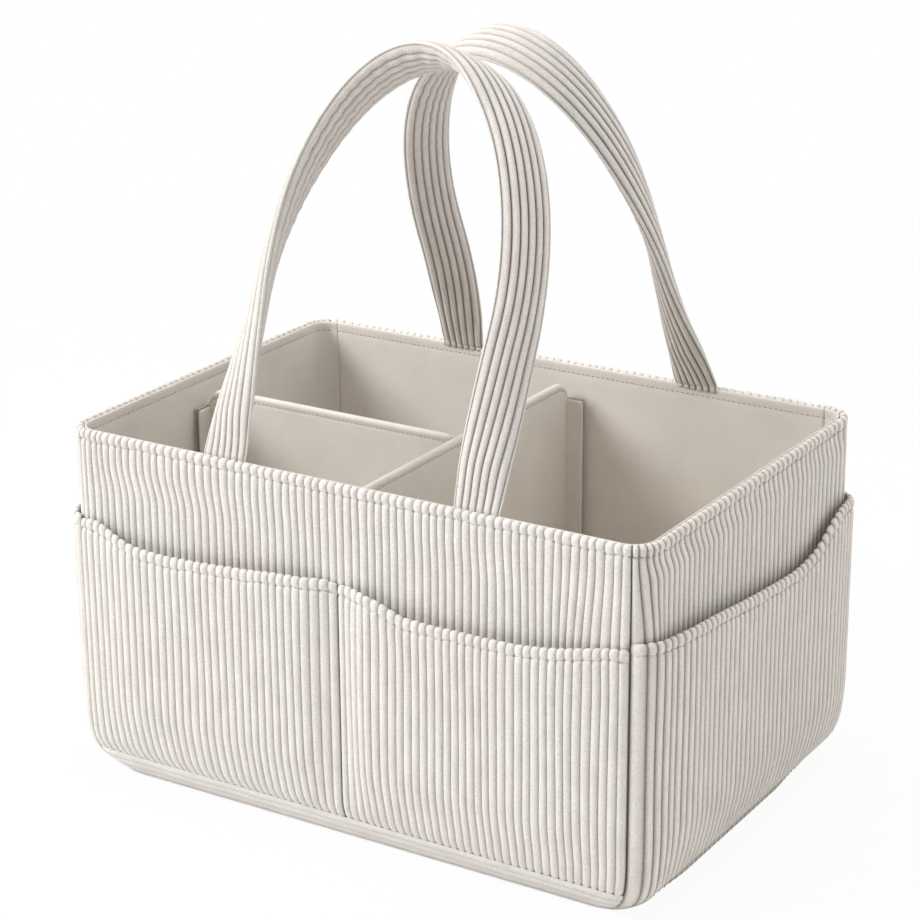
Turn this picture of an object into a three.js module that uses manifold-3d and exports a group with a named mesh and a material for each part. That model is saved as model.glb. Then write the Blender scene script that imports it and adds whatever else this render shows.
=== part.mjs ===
// A soft corduroy caddy: an open tote with two strap handles, six outside pockets
// and two lift-out dividers. Millimetres, +Z up. The origin is on the ground, under
// the middle of the base. X runs along the long sides and -Y is the front.
import * as THREE from 'three';
import { mergeVertices } from 'three/addons/utils/BufferGeometryUtils.js';
import Module from 'manifold-3d';

const wasm = await Module();
wasm.setup();

// Overall sizes
const length = 380;
const depth = 260;
const height = 218;
const rimRadius = 18;
const footRadius = 24;
const tuck = 14;
const tuckHeight = 42;

// Cloth, stiffening and the clearance between pieces that touch
const cloth = 2.4;
const stiffening = 2.2;
const baseBoard = 2.5;
const liningCloth = 1;
const clearance = 0.3;
const seamGap = 0.5;
const liningDrop = 1;
const bandHeight = 14;
const rimRoll = 2.4;
const rimEase = 0.8;

// Outside pockets
const frontHemHeight = 166;
const sideHemHeight = 170;
const hemWidth = 8;
const hemFold = 0.8;
const pocketGape = 6.4;
const pocketRise = 44;
const seamPinch = 24;
const cornerRelief = 45;
const sidePocketFoot = 1.5;
const frontLeftDip = 9;
const frontRightDip = 15;
const backDip = 12;
const sideDip = 19;

// Strap handles
const strapWidth = 29;
const strapThickness = 7;
const strapCloth = 1.6;
const strapEdgeRadius = 2.4;
const footSpacing = 164;
const archHeight = 237;
const frontArchHalfWidth = 81.5;
const backArchHalfWidth = 75;
const frontHandleShift = 3;
const backHandleShift = 6;
const legHeight = 92;
const twistLength = 185;
const strapSetBack = 1.1;
const crownGap = 21;
const footClearance = 0.5;

// Dividers
const dividerTop = 208;
const dividerCloth = 0.9;
const dividerBoard = 2.5;
const dividerLift = 0.5;
const dividerPlay = 0.7;
const crossPlace = -4;
const endCornerRadius = 12;
const middleCornerRadius = 3;
const flangeWidth = 26;
const flangeThickness = 1.5;
const flangeFoot = 50;
const flangeDrop = 12;
const hookWidth = 20;
const hookThickness = 1;
const loopWidth = 22;
const loopThickness = 0.8;
const cutOverrun = 5;

// Where a corner's seam is, in degrees round its arc from the front or back
const seamTurn = 25;

// Shares and counts
const tuckShares = [0, 0.08, 0.18, 0.3, 0.45, 0.65, 1];
const tuckPower = 3.5;
const cornerGapeShare = 0.22;
const frontHemPower = 2.5;
const sideHemPower = 1.7;
const sideHemSkew = 1.45;
const legShare = 0.34;
const seamArcSteps = 2;
const sideArcSteps = 5;
const liningArcSteps = 6;
const pocketSteps = 9;
const archSteps = 36;
const cornerCuts = 3;
const paddingCuts = 2;

// Places in the thickness of a wall, measured inwards from the outside of the tote
const stiffenerFace = cloth + clearance;
const stiffenerBack = stiffenerFace + stiffening;
const liningBack = stiffenerBack + clearance;
const liningFace = liningBack + liningCloth;
const loopBack = liningFace + clearance;
const hookBack = loopBack + loopThickness + clearance;
const flangeBack = hookBack + hookThickness + clearance;

// The handles lean in from the rim until the given gap is left between their crowns
const footInwards = strapSetBack + strapThickness / 2;
const crownHeight = archHeight + strapThickness / 2;
const crownReach = Math.hypot(crownHeight, strapWidth / 2);
const crownInwards = depth / 2 - footInwards - crownGap / 2;
const handleLean = Math.asin(crownInwards / crownReach) - Math.atan2(strapWidth / 2, crownHeight);

// Heights of the layers in the base
const baseBoardFoot = cloth + clearance;
const baseLiningFoot = baseBoardFoot + baseBoard + clearance;
const floorHeight = baseLiningFoot + liningCloth;
const liningFoot = floorHeight + clearance;
const aboveBand = bandHeight + clearance;

const radians = THREE.MathUtils.degToRad;
const smooth = (share) => THREE.MathUtils.smoothstep(share, 0, 1);

const material = (color, roughness) => new THREE.MeshStandardMaterial({ color, roughness, metalness: 0 });
const looks = {
  corduroy: () => material(0xe6dfd9, 0.95),
  lining: () => material(0xb9b0a6, 0.85),
  felt: () => material(0xdedbd4, 0.95),
  board: () => material(0xe9e6e0, 0.7),
  padding: () => material(0xf2f0ec, 0.95),
  hook: () => material(0xcfc8bf, 0.8),
};

// The walls stand straight and draw in towards the base
const drawn = (z) => Math.max(0, 1 - z / tuckHeight) ** tuckPower;
const inset = (z) => tuck * drawn(z);
const planRadius = (z) => rimRadius + (footRadius - rimRadius) * drawn(z);

// A station is a place on the plan outline: along and across are shares of the way
// to the centres of the corner arcs, and normal points outwards
function straightStation(along, across, normalTurn) {
  return { along, across, turn: radians(normalTurn) };
}

function outlinePoint(station, z, inwards) {
  const radius = planRadius(z);
  const centreX = length / 2 - inset(z) - radius;
  const centreY = depth / 2 - inset(z) - radius;
  const reach = radius - inwards;
  return new THREE.Vector3(
    station.along * centreX + Math.cos(station.turn) * reach,
    station.across * centreY + Math.sin(station.turn) * reach,
    z,
  );
}

// Stations round one corner, from one outward direction to another, in degrees
function arcStations(along, across, from, to, steps) {
  const stations = [];
  for (let i = 0; i <= steps; i += 1) {
    stations.push(straightStation(along, across, from + ((to - from) * i) / steps));
  }
  return stations;
}

// Half of the angle left open at a corner seam, in degrees
const seamHalfTurn = THREE.MathUtils.radToDeg(seamGap / 2 / rimRadius);

// The front wall's stations, from its left corner seam to its right one
function frontStations() {
  const turn = seamTurn - seamHalfTurn;
  return [
    ...arcStations(-1, -1, -90 - turn, -90, seamArcSteps),
    ...arcStations(1, -1, -90, -90 + turn, seamArcSteps),
  ];
}

// The right wall's stations, from its front corner seam round to its back one
function rightStations() {
  const turn = seamTurn + seamHalfTurn;
  return [
    ...arcStations(1, -1, -90 + turn, 0, sideArcSteps),
    ...arcStations(1, 1, 0, 90 - turn, sideArcSteps),
  ];
}

// A half turn about Z takes a front piece to the back and a right piece to the left
function turned(stations) {
  return stations.map((station) => ({
    along: -station.along,
    across: -station.across,
    turn: station.turn + Math.PI,
  }));
}

function meshGeometry(positions, indices) {
  const geometry = new THREE.BufferGeometry();
  geometry.setAttribute('position', new THREE.Float32BufferAttribute(positions, 3));
  geometry.setIndex(indices);
  return geometry;
}

// Fills a flat outline with triangles, as lists of three places in it
const fill = (outline) => THREE.ShapeUtils.triangulateShape(outline, []);

// Joins closed rings of points, all of one count, into a solid. Its two ends are
// closed by triangles that name places in the first and the last ring.
function loft(rings, firstEnd, lastEnd) {
  const count = rings[0].length;
  const positions = rings.flat().flatMap((point) => point.toArray());
  const indices = [];
  for (let r = 0; r < rings.length - 1; r += 1) {
    for (let i = 0; i < count; i += 1) {
      const next = (i + 1) % count;
      const a = r * count + i;
      const b = r * count + next;
      indices.push(a, b, b + count, a, b + count, a + count);
    }
  }
  const last = (rings.length - 1) * count;
  for (const [a, b, c] of firstEnd) {
    indices.push(a, c, b);
  }
  for (const [a, b, c] of lastEnd) {
    indices.push(last + a, last + b, last + c);
  }
  return meshGeometry(positions, indices);
}

// Fills a wall's section, whose points run up its inside and down its outside. In
// the curved part both sides have points at the same heights, so the end follows
// the curve in bands; the straight part above them is filled as one.
function fillSection(section) {
  const triangles = [];
  const isBand = (inside, outside) => {
    const z = section[inside].y;
    return inside < outside && z === section[outside].y && z <= tuckHeight;
  };
  let low = 0;
  let high = section.length - 1;
  while (isBand(low + 1, high - 1)) {
    triangles.push([low, low + 1, high - 1], [low, high - 1, high]);
    low += 1;
    high -= 1;
  }
  if (high - low > 1) {
    const rest = fill(section.slice(low, high + 1));
    triangles.push(...rest.map((places) => places.map((place) => place + low)));
  }
  return triangles;
}

// Sweeps a wall section along stations. section(i) gives points of x = how far
// inwards and y = height, anticlockwise when inwards is to the right.
function wallSweep(stations, section) {
  const sections = stations.map((station, i) => section(i));
  const rings = stations.map((station, i) => (
    sections[i].map((point) => outlinePoint(station, point.y, point.x))
  ));
  return loft(rings, fillSection(sections[0]), fillSection(sections[sections.length - 1]));
}

// Heights at which a piece between foot and top follows the curve of the wall
function wallLevels(foot, top) {
  const levels = tuckShares.map((share) => share * tuckHeight);
  return [foot, ...levels.filter((z) => z > foot + rimEase && z < top - rimEase)];
}

function points(pairs) {
  return pairs.map(([inwards, z]) => new THREE.Vector2(inwards, z));
}

// A flat-edged layer in a wall, between two depths and two heights
function layerSection(face, back, foot, top) {
  const levels = [...wallLevels(foot, top), top];
  return points([
    ...levels.map((z) => [back, z]),
    ...levels.map((z) => [face, z]).reverse(),
  ]);
}

// An outside panel: its top edge rolls in over the stiffener, as the turned rim does
function panelSection(foot) {
  const levels = wallLevels(foot, height);
  return points([
    ...levels.map((z) => [cloth, z]),
    [cloth, height - rimRoll],
    [stiffenerBack, height - rimRoll],
    [stiffenerBack, height - rimEase],
    [stiffenerBack - rimEase, height],
    [rimEase, height],
    [0, height - rimEase],
    ...levels.map((z) => [0, z]).reverse(),
  ]);
}

function wallPanel(stations, foot) {
  const section = panelSection(foot);
  return wallSweep(stations, () => section);
}

function wallLayer(stations, face, back, foot, top) {
  const section = layerSection(face, back, foot, top);
  return wallSweep(stations, () => section);
}

// A flat plate whose edges slope with the walls. Each place along its edge is a
// station and how far inwards the plate ends there.
function plate(edge, foot, thickness) {
  const rings = [foot, foot + thickness].map((z) => edge.map(({ station, inwards }) => (
    outlinePoint(station, z, inwards)
  )));
  const flat = (ring) => ring.map((point) => new THREE.Vector2(point.x, point.y));
  return loft(rings, fill(flat(rings[0])), fill(flat(rings[1])));
}

const edgeAt = (stations, inwards) => stations.map((station) => ({ station, inwards }));

function toManifold(geometry) {
  const bare = geometry.clone();
  bare.deleteAttribute('normal');
  bare.deleteAttribute('uv');
  const merged = mergeVertices(bare);
  return new wasm.Manifold(new wasm.Mesh({
    numProp: 3,
    vertProperties: new Float32Array(merged.attributes.position.array),
    triVerts: new Uint32Array(merged.index.array),
  }));
}

function fromManifold(solid) {
  const mesh = solid.getMesh();
  return meshGeometry(Array.from(mesh.vertProperties), Array.from(mesh.triVerts));
}

function box(lowX, highX, lowY, highY, lowZ, highZ) {
  const geometry = new THREE.BoxGeometry(highX - lowX, highY - lowY, highZ - lowZ);
  return geometry.translate((lowX + highX) / 2, (lowY + highY) / 2, (lowZ + highZ) / 2);
}

// The base panel lies flat and turns up in front and behind as a band. It reaches
// into the bands, and stays clear of the side walls and of the corner seams.
function basePanel() {
  const front = frontStations();
  const back = turned(front);
  const clearOfSides = cloth + clearance;
  const edge = [
    ...edgeAt(front.slice(1, -1), cloth / 2),
    ...edgeAt(rightStations(), clearOfSides),
    ...edgeAt(back.slice(1, -1), cloth / 2),
    ...edgeAt(turned(rightStations()), clearOfSides),
  ];
  const bottom = toManifold(plate(edge, 0, cloth));
  const frontBand = toManifold(wallLayer(front, 0, cloth, 0, bandHeight));
  const backBand = toManifold(wallLayer(back, 0, cloth, 0, bandHeight));
  return fromManifold(bottom.add(frontBand).add(backBand));
}

// A plate inside the walls, this far in from their outside
function innerPlate(inwards, foot, thickness) {
  const half = [
    ...arcStations(1, -1, -90, 0, liningArcSteps),
    ...arcStations(1, 1, 0, 90, liningArcSteps),
  ];
  return plate(edgeAt([...half, ...turned(half)], inwards), foot, thickness);
}

// Outside pockets

// How far a pocket stands off its wall at one place. across is 0 at a seam that
// holds the pocket to the wall and 1 where it stands free.
function pocketGap(z, foot, across) {
  const rise = smooth((z - foot) / pocketRise);
  return clearance + (pocketGape - clearance) * rise * across;
}

// A section through a pocket: the cloth, with its hem folded inwards at the top
function pocketSection(foot, hem, across) {
  const levels = wallLevels(foot, hem - hemWidth);
  const inner = (z) => -pocketGap(z, foot, across);
  const fold = Math.min(hemFold, pocketGap(hem, foot, across) - clearance);
  return points([
    ...levels.map((z) => [inner(z), z]),
    [inner(hem), hem - hemWidth],
    [inner(hem) + fold, hem - hemWidth + fold],
    [inner(hem) + fold, hem],
    [inner(hem) - cloth, hem],
    [inner(hem) - cloth, hem - hemWidth],
    ...levels.map((z) => [inner(z) - cloth, z]).reverse(),
  ]);
}

const fromCorner = (distance) => cornerGapeShare + (1 - cornerGapeShare) * smooth(distance / cornerRelief);
const fromSeam = (distance) => smooth(distance / seamPinch);
const hemCurve = (share, power) => 1 - Math.abs(2 * share - 1) ** power;

// One half of the front: from the left corner seam to the seam in the middle
function frontLeftPocket(dip) {
  const corner = frontStations().slice(0, seamArcSteps);
  const middle = 1 - seamGap / length;
  const stations = [...corner];
  for (let i = 0; i <= pocketSteps; i += 1) {
    stations.push(straightStation(-1 + (middle * i) / pocketSteps, -1, -90));
  }
  const start = outlinePoint(stations[0], height, 0).x;
  const end = outlinePoint(stations[stations.length - 1], height, 0).x;
  return wallSweep(stations, (i) => {
    const x = outlinePoint(stations[i], height, 0).x;
    const across = fromCorner(x - start) * fromSeam(end - x);
    const hem = frontHemHeight - dip * hemCurve((x - start) / (end - start), frontHemPower);
    return pocketSection(aboveBand, hem, across);
  });
}

// The right side's pocket, from the front corner seam round to the back one
function rightPocket(dip) {
  const ends = rightStations();
  const front = ends.slice(0, sideArcSteps);
  const back = ends.slice(sideArcSteps + 2);
  const stations = [...front];
  for (let i = 0; i <= pocketSteps; i += 1) {
    stations.push(straightStation(1, -1 + (2 * i) / pocketSteps, 0));
  }
  stations.push(...back);
  const start = outlinePoint(stations[0], height, 0).y;
  const end = outlinePoint(stations[stations.length - 1], height, 0).y;
  return wallSweep(stations, (i) => {
    const y = outlinePoint(stations[i], height, 0).y;
    const across = fromCorner(Math.min(y - start, end - y));
    const share = ((y - start) / (end - start)) ** sideHemSkew;
    const hem = sideHemHeight - dip * hemCurve(share, sideHemPower);
    return pocketSection(sidePocketFoot, hem, across);
  });
}

// A mirror image across the plane x = 0 or y = 0, with its faces still outwards
function mirrored(geometry, flipX, flipY) {
  const copy = geometry.clone();
  copy.scale(flipX ? -1 : 1, flipY ? -1 : 1, 1);
  if (flipX !== flipY) {
    const index = copy.index.array;
    for (let i = 0; i < index.length; i += 3) {
      const kept = index[i];
      index[i] = index[i + 1];
      index[i + 1] = kept;
    }
  }
  return copy;
}

// Strap handles

// The middle line of a handle, upright in the XZ plane, from its right foot over
// the top to its left foot: two legs that bow out a little and a half ellipse
class StrapLine extends THREE.Curve {
  constructor(halfWidth) {
    super();
    this.halfWidth = halfWidth;
  }

  getPoint(t) {
    const place = 1 - 2 * t;
    const side = Math.sign(place) || 1;
    const fromTop = Math.abs(place);
    const legStart = 1 - legShare;
    if (fromTop > legStart) {
      const up = (1 - fromTop) / legShare;
      const bow = (this.halfWidth - footSpacing / 2) * Math.sin((up * Math.PI) / 2);
      return new THREE.Vector3(side * (footSpacing / 2 + bow), 0, up * legHeight);
    }
    const angle = (fromTop / legStart) * (Math.PI / 2);
    return new THREE.Vector3(
      side * this.halfWidth * Math.sin(angle),
      0,
      legHeight + (archHeight - legHeight) * Math.cos(angle),
    );
  }
}

// A rounded rectangle, with x along the strap's width and y through its thickness
function strapOutline(width, thickness, radius, cuts) {
  const outline = [];
  for (let quarter = 0; quarter < 4; quarter += 1) {
    const start = (quarter * Math.PI) / 2;
    const signX = Math.sign(Math.cos(start + Math.PI / 4));
    const signY = Math.sign(Math.sin(start + Math.PI / 4));
    for (let i = 0; i < cuts; i += 1) {
      const angle = start + (i * Math.PI) / 2 / (cuts - 1);
      outline.push(new THREE.Vector2(
        signX * (width / 2 - radius) + radius * Math.cos(angle),
        signY * (thickness / 2 - radius) + radius * Math.sin(angle),
      ));
    }
  }
  return outline;
}

// Carries an outline along the handle. At a foot the strap's face looks forwards;
// it turns a quarter as it climbs, until that face is the outside of the arch.
function strapRings(outline, halfWidth) {
  const line = new StrapLine(halfWidth);
  const total = line.getLength();
  const rings = [];
  for (let step = 0; step <= archSteps; step += 1) {
    const share = step / archSteps;
    const centre = line.getPointAt(share);
    const tangent = line.getTangentAt(share);
    const outwards = new THREE.Vector3(tangent.z, 0, -tangent.x);
    const fromFoot = Math.min(share, 1 - share) * total;
    const turn = smooth(fromFoot / twistLength) * (Math.PI / 2);
    const forwards = new THREE.Vector3(0, -1, 0);
    const face = forwards.multiplyScalar(Math.cos(turn)).addScaledVector(outwards, Math.sin(turn));
    const width = new THREE.Vector3().crossVectors(face, tangent);
    const ring = outline.map((point) => centre.clone()
      .addScaledVector(width, point.x)
      .addScaledVector(face, point.y));
    // The feet are cut level once the handle leans
    if (step === 0 || step === archSteps) {
      ring.forEach((point) => {
        point.z = point.y * Math.tan(handleLean);
      });
    }
    rings.push(ring);
  }
  return rings;
}

function strapPadding(halfWidth) {
  const outline = strapOutline(
    strapWidth - 2 * (strapCloth + clearance),
    strapThickness - 2 * (strapCloth + clearance),
    strapEdgeRadius - strapCloth,
    paddingCuts,
  );
  return loft(strapRings(outline, halfWidth), fill(outline), fill(outline));
}

// The cover is a sleeve: an outer and an inner surface joined round both feet
function strapCover(halfWidth) {
  const outer = strapOutline(strapWidth, strapThickness, strapEdgeRadius, cornerCuts);
  const inner = strapOutline(
    strapWidth - 2 * strapCloth,
    strapThickness - 2 * strapCloth,
    strapEdgeRadius - strapCloth,
    paddingCuts,
  );
  const outerRings = strapRings(outer, halfWidth);
  const innerRings = strapRings(inner, halfWidth);
  const positions = [...outerRings.flat(), ...innerRings.flat()].flatMap((point) => point.toArray());
  const innerStart = outerRings.length * outer.length;
  const indices = [];
  const skin = (start, count, flip) => {
    for (let r = 0; r < outerRings.length - 1; r += 1) {
      for (let i = 0; i < count; i += 1) {
        const next = (i + 1) % count;
        const a = start + r * count + i;
        const b = start + r * count + next;
        if (flip) {
          indices.push(a, b + count, b, a, a + count, b + count);
        } else {
          indices.push(a, b, b + count, a, b + count, a + count);
        }
      }
    }
  };
  skin(0, outer.length, false);
  skin(innerStart, inner.length, true);
  const place = (ring, i) => (i < outer.length
    ? ring * outer.length + i
    : innerStart + ring * inner.length + (i - outer.length));
  for (const [a, b, c] of THREE.ShapeUtils.triangulateShape(outer, [inner])) {
    indices.push(place(0, a), place(0, c), place(0, b));
    indices.push(place(archSteps, a), place(archSteps, b), place(archSteps, c));
  }
  return meshGeometry(positions, indices);
}

// Dividers

const dividerFoot = floorHeight + dividerLift;
const flangeTop = dividerTop - flangeDrop;
const webThickness = dividerBoard + 2 * (dividerCloth + clearance);

// How far from the outside of a wall a divider's end stays at one height
const endReach = (z) => Math.max(flangeBack, inset(z) + liningFace + dividerPlay);

// The outline of a divider in its own plane. Each end has place(z), how far along
// it reaches, and a corner radius. margin draws the sides and the top in.
function dividerOutline(left, right, margin, foot) {
  const levels = wallLevels(Math.max(foot, dividerFoot), flangeTop);
  const side = (end, sign) => {
    const radius = end.radius - Math.min(margin, end.radius - clearance);
    const edge = levels.map((z) => new THREE.Vector2(end.place(z) - sign * margin, z));
    edge[0].y = foot;
    const corner = end.place(dividerTop) - sign * (margin + radius);
    for (let i = 0; i <= cornerCuts; i += 1) {
      const angle = (i * Math.PI) / 2 / cornerCuts;
      edge.push(new THREE.Vector2(
        corner + sign * radius * Math.cos(angle),
        dividerTop - margin - radius + radius * Math.sin(angle),
      ));
    }
    return edge;
  };
  return [...side(right, 1), ...side(left, -1).reverse()];
}

// Stands an outline of x = along and y = height upright, with its thickness
// centred on the plane y = 0
function upright(outline, thickness) {
  const shape = new THREE.Shape(outline);
  const geometry = new THREE.ExtrudeGeometry(shape, { depth: thickness, bevelEnabled: false });
  return geometry.translate(0, 0, -thickness / 2).rotateX(Math.PI / 2);
}

// A divider's cover: a sleeve open along its foot, with a flange across each end
function dividerCover(left, right) {
  const web = toManifold(upright(dividerOutline(left, right, 0, dividerFoot), webThickness));
  const hollow = toManifold(upright(
    dividerOutline(left, right, flangeThickness, dividerFoot - cutOverrun),
    webThickness - 2 * dividerCloth,
  ));
  const flange = (end, sign) => {
    const face = end.place(dividerTop);
    const back = face - sign * flangeThickness;
    return toManifold(box(
      Math.min(face, back),
      Math.max(face, back),
      -flangeWidth / 2,
      flangeWidth / 2,
      flangeFoot,
      flangeTop,
    ));
  };
  return fromManifold(web.add(flange(left, -1)).add(flange(right, 1)).subtract(hollow));
}

function dividerCore(left, right) {
  return upright(dividerOutline(left, right, flangeThickness + clearance, dividerFoot), dividerBoard);
}

// A strip of hook or loop tape, upright on a plane x = face and this thick outwards
function tapeStrip(face, outwardSign, thickness, width) {
  const back = face + outwardSign * thickness;
  return box(Math.min(face, back), Math.max(face, back), -width / 2, width / 2, flangeFoot, flangeTop);
}

// The ends of the two dividers, each along its own line
const wallEnd = (half, sign) => ({ place: (z) => sign * (half - endReach(z)), radius: endCornerRadius });
const centreEnds = [wallEnd(depth / 2, -1), wallEnd(depth / 2, 1)];
const middleStandOff = webThickness / 2 + clearance + loopThickness + clearance + hookThickness + clearance;
const crossEnds = [
  wallEnd(length / 2, -1),
  { place: () => -middleStandOff, radius: middleCornerRadius },
];

// Assembly

const caddy = new THREE.Group();

function addMesh(parent, name, geometry, look) {
  const mesh = new THREE.Mesh(geometry, look());
  mesh.name = name;
  parent.add(mesh);
  return mesh;
}

const front = frontStations();
const right = rightStations();
const middleShare = 1 - seamGap / length;
const frontStraight = [straightStation(-middleShare, -1, -90), straightStation(middleShare, -1, -90)];
const rightStraight = [straightStation(1, -middleShare, 0), straightStation(1, middleShare, 0)];
const rightRound = [
  ...arcStations(1, -1, -90, 0, liningArcSteps),
  ...arcStations(1, 1, 0, 90, liningArcSteps),
];
const stiffenerTop = height - rimRoll - clearance;
const liningTop = height - liningDrop;

const walls = [
  { name: 'front', panel: front, straight: frontStraight, lined: frontStraight, foot: aboveBand },
  { name: 'right', panel: right, straight: rightStraight, lined: rightRound, foot: 0 },
];
for (const [name, facing] of [['back', walls[0]], ['left', walls[1]]]) {
  walls.push({
    name,
    panel: turned(facing.panel),
    straight: turned(facing.straight),
    lined: turned(facing.lined),
    foot: facing.foot,
  });
}

for (const wall of walls) {
  addMesh(caddy, `${wall.name}_panel`, wallPanel(wall.panel, wall.foot), looks.corduroy);
  addMesh(
    caddy,
    `${wall.name}_stiffener`,
    wallLayer(wall.straight, stiffenerFace, stiffenerBack, baseBoardFoot, stiffenerTop),
    looks.felt,
  );
  addMesh(
    caddy,
    `${wall.name}_lining`,
    wallLayer(wall.lined, liningBack, liningFace, liningFoot, liningTop),
    looks.lining,
  );
}

addMesh(caddy, 'base_panel', basePanel(), looks.corduroy);
addMesh(caddy, 'base_board', innerPlate(liningBack, baseBoardFoot, baseBoard), looks.board);
addMesh(caddy, 'base_lining', innerPlate(liningBack, baseLiningFoot, liningCloth), looks.lining);

addMesh(caddy, 'front_left_pocket', frontLeftPocket(frontLeftDip), looks.corduroy);
addMesh(caddy, 'front_right_pocket', mirrored(frontLeftPocket(frontRightDip), true, false), looks.corduroy);
addMesh(caddy, 'back_left_pocket', mirrored(frontLeftPocket(backDip), false, true), looks.corduroy);
addMesh(caddy, 'back_right_pocket', mirrored(frontLeftPocket(backDip), true, true), looks.corduroy);
addMesh(caddy, 'right_pocket', rightPocket(sideDip), looks.corduroy);
addMesh(caddy, 'left_pocket', mirrored(rightPocket(sideDip), true, false), looks.corduroy);

// Each handle stands on the rim and leans in; the back one is the front one turned
const handles = [
  { name: 'front', turn: 0, shift: frontHandleShift, halfWidth: frontArchHalfWidth },
  { name: 'back', turn: Math.PI, shift: backHandleShift, halfWidth: backArchHalfWidth },
];
for (const { name, turn, shift, halfWidth } of handles) {
  const side = new THREE.Group();
  side.rotation.z = turn;
  side.position.x = shift;
  const stand = new THREE.Group();
  stand.position.set(0, -depth / 2 + footInwards, height + footClearance);
  stand.rotation.x = -handleLean;
  side.add(stand);
  caddy.add(side);
  addMesh(stand, `${name}_handle_cover`, strapCover(halfWidth), looks.corduroy);
  addMesh(stand, `${name}_handle_padding`, strapPadding(halfWidth), looks.padding);
}

// The centre divider runs from front to back: its own line is turned onto Y
const centreLine = new THREE.Group();
centreLine.rotation.z = Math.PI / 2;
caddy.add(centreLine);
addMesh(centreLine, 'centre_divider_cover', dividerCover(...centreEnds), looks.lining);
addMesh(centreLine, 'centre_divider_board', dividerCore(...centreEnds), looks.board);
for (const [name, sign] of [['front', -1], ['back', 1]]) {
  const wallFace = sign * (depth / 2 - hookBack);
  const hook = tapeStrip(wallFace, -sign, hookThickness, hookWidth);
  addMesh(centreLine, `centre_divider_${name}_hook`, hook, looks.hook);
  const loopFace = sign * (depth / 2 - loopBack);
  const loop = tapeStrip(loopFace, -sign, loopThickness, loopWidth);
  addMesh(centreLine, `${name}_loop_strip`, loop, looks.hook);
}

// The cross divider halves the left side, between the left wall and the centre divider
const crossLine = new THREE.Group();
crossLine.position.y = crossPlace;
caddy.add(crossLine);
addMesh(crossLine, 'cross_divider_cover', dividerCover(...crossEnds), looks.lining);
addMesh(crossLine, 'cross_divider_board', dividerCore(...crossEnds), looks.board);
const middleLoopFace = -(webThickness / 2 + clearance);
const tapes = [
  { name: 'cross_divider_left_hook', face: -(length / 2 - hookBack), out: 1, hook: true },
  { name: 'left_loop_strip', face: -(length / 2 - loopBack), out: 1, hook: false },
  { name: 'centre_divider_loop_strip', face: middleLoopFace, out: -1, hook: false },
  {
    name: 'cross_divider_right_hook',
    face: middleLoopFace - loopThickness - clearance,
    out: -1,
    hook: true,
  },
];
for (const { name, face, out, hook } of tapes) {
  const thickness = hook ? hookThickness : loopThickness;
  const width = hook ? hookWidth : loopWidth;
  addMesh(crossLine, name, tapeStrip(face, out, thickness, width), looks.hook);
}

export default caddy;
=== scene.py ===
import math

import bpy
import numpy as np
from mathutils import Matrix, Vector


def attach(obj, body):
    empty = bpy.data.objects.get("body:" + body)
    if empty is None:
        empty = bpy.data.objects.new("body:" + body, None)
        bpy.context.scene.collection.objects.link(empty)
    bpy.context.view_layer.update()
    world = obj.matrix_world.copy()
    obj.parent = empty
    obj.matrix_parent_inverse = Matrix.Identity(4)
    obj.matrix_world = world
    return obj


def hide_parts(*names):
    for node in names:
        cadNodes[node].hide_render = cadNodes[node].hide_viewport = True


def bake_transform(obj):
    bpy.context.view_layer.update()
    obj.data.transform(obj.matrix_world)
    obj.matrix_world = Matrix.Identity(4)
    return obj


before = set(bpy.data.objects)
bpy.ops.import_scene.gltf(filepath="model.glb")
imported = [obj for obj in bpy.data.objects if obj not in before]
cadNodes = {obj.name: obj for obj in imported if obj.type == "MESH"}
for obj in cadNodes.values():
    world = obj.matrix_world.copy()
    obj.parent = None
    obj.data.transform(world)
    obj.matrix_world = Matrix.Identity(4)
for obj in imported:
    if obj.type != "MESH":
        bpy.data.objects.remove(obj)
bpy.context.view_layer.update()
scene = bpy.context.scene
print("frame loaded:", len(cadNodes), "nodes")

# Lengths in this file are millimetres until a mesh is made
metre = 0.001


# Camera, where the photograph was taken from: angles in degrees, place in metres
photo = {"azimuth": 31.85, "elevation": 19.71, "roll": -0.34, "lens": 103.03, "sensor": 36,
         "place": (0.7592, -1.2256, 0.7085)}


def makeCamera():
    turn, rise, roll = (math.radians(photo[k]) for k in ("azimuth", "elevation", "roll"))
    back = Vector((math.sin(turn) * math.cos(rise), -math.cos(turn) * math.cos(rise), math.sin(rise)))
    level = Vector((math.cos(turn), math.sin(turn), 0))
    above = back.cross(level)
    right = level * math.cos(roll) + above * math.sin(roll)
    up = above * math.cos(roll) - level * math.sin(roll)
    data = bpy.data.cameras.new("camera")
    data.lens = photo["lens"]
    data.sensor_width = photo["sensor"]
    data.clip_end = 30
    camera = bpy.data.objects.new("camera", data)
    turned = Matrix((right, up, back)).transposed().to_4x4()
    camera.matrix_world = Matrix.Translation(photo["place"]) @ turned
    scene.collection.objects.link(camera)
    scene.camera = camera


makeCamera()
print("camera placed")


# The tote's walls: straight, then drawn in towards the base
tote = {"length": 380, "depth": 260, "height": 218, "rimRadius": 18, "footRadius": 24,
        "tuck": 14, "tuckHeight": 42, "tuckPower": 3.5, "seamTurn": 25, "cloth": 2.4}
sides = {"front": 0, "right": 1, "back": 2, "left": 3}
longSides = ("front", "back")


def smooth(share):
    t = np.clip(share, 0, 1)
    return t * t * (3 - 2 * t)


def blend(a, b, share):
    return a + (b - a) * share


def inset(z):
    return tote["tuck"] * np.maximum(0, 1 - np.asarray(z, float) / tote["tuckHeight"]) ** tote["tuckPower"]


def halfPath(side):
    # From the middle of a wall to its corner seam, along the rim
    wall, turn = ("length", tote["seamTurn"]) if side in longSides else ("depth", 90 - tote["seamTurn"])
    return tote[wall] / 2 - tote["rimRadius"] + math.radians(turn) * tote["rimRadius"] - 0.04


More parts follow.
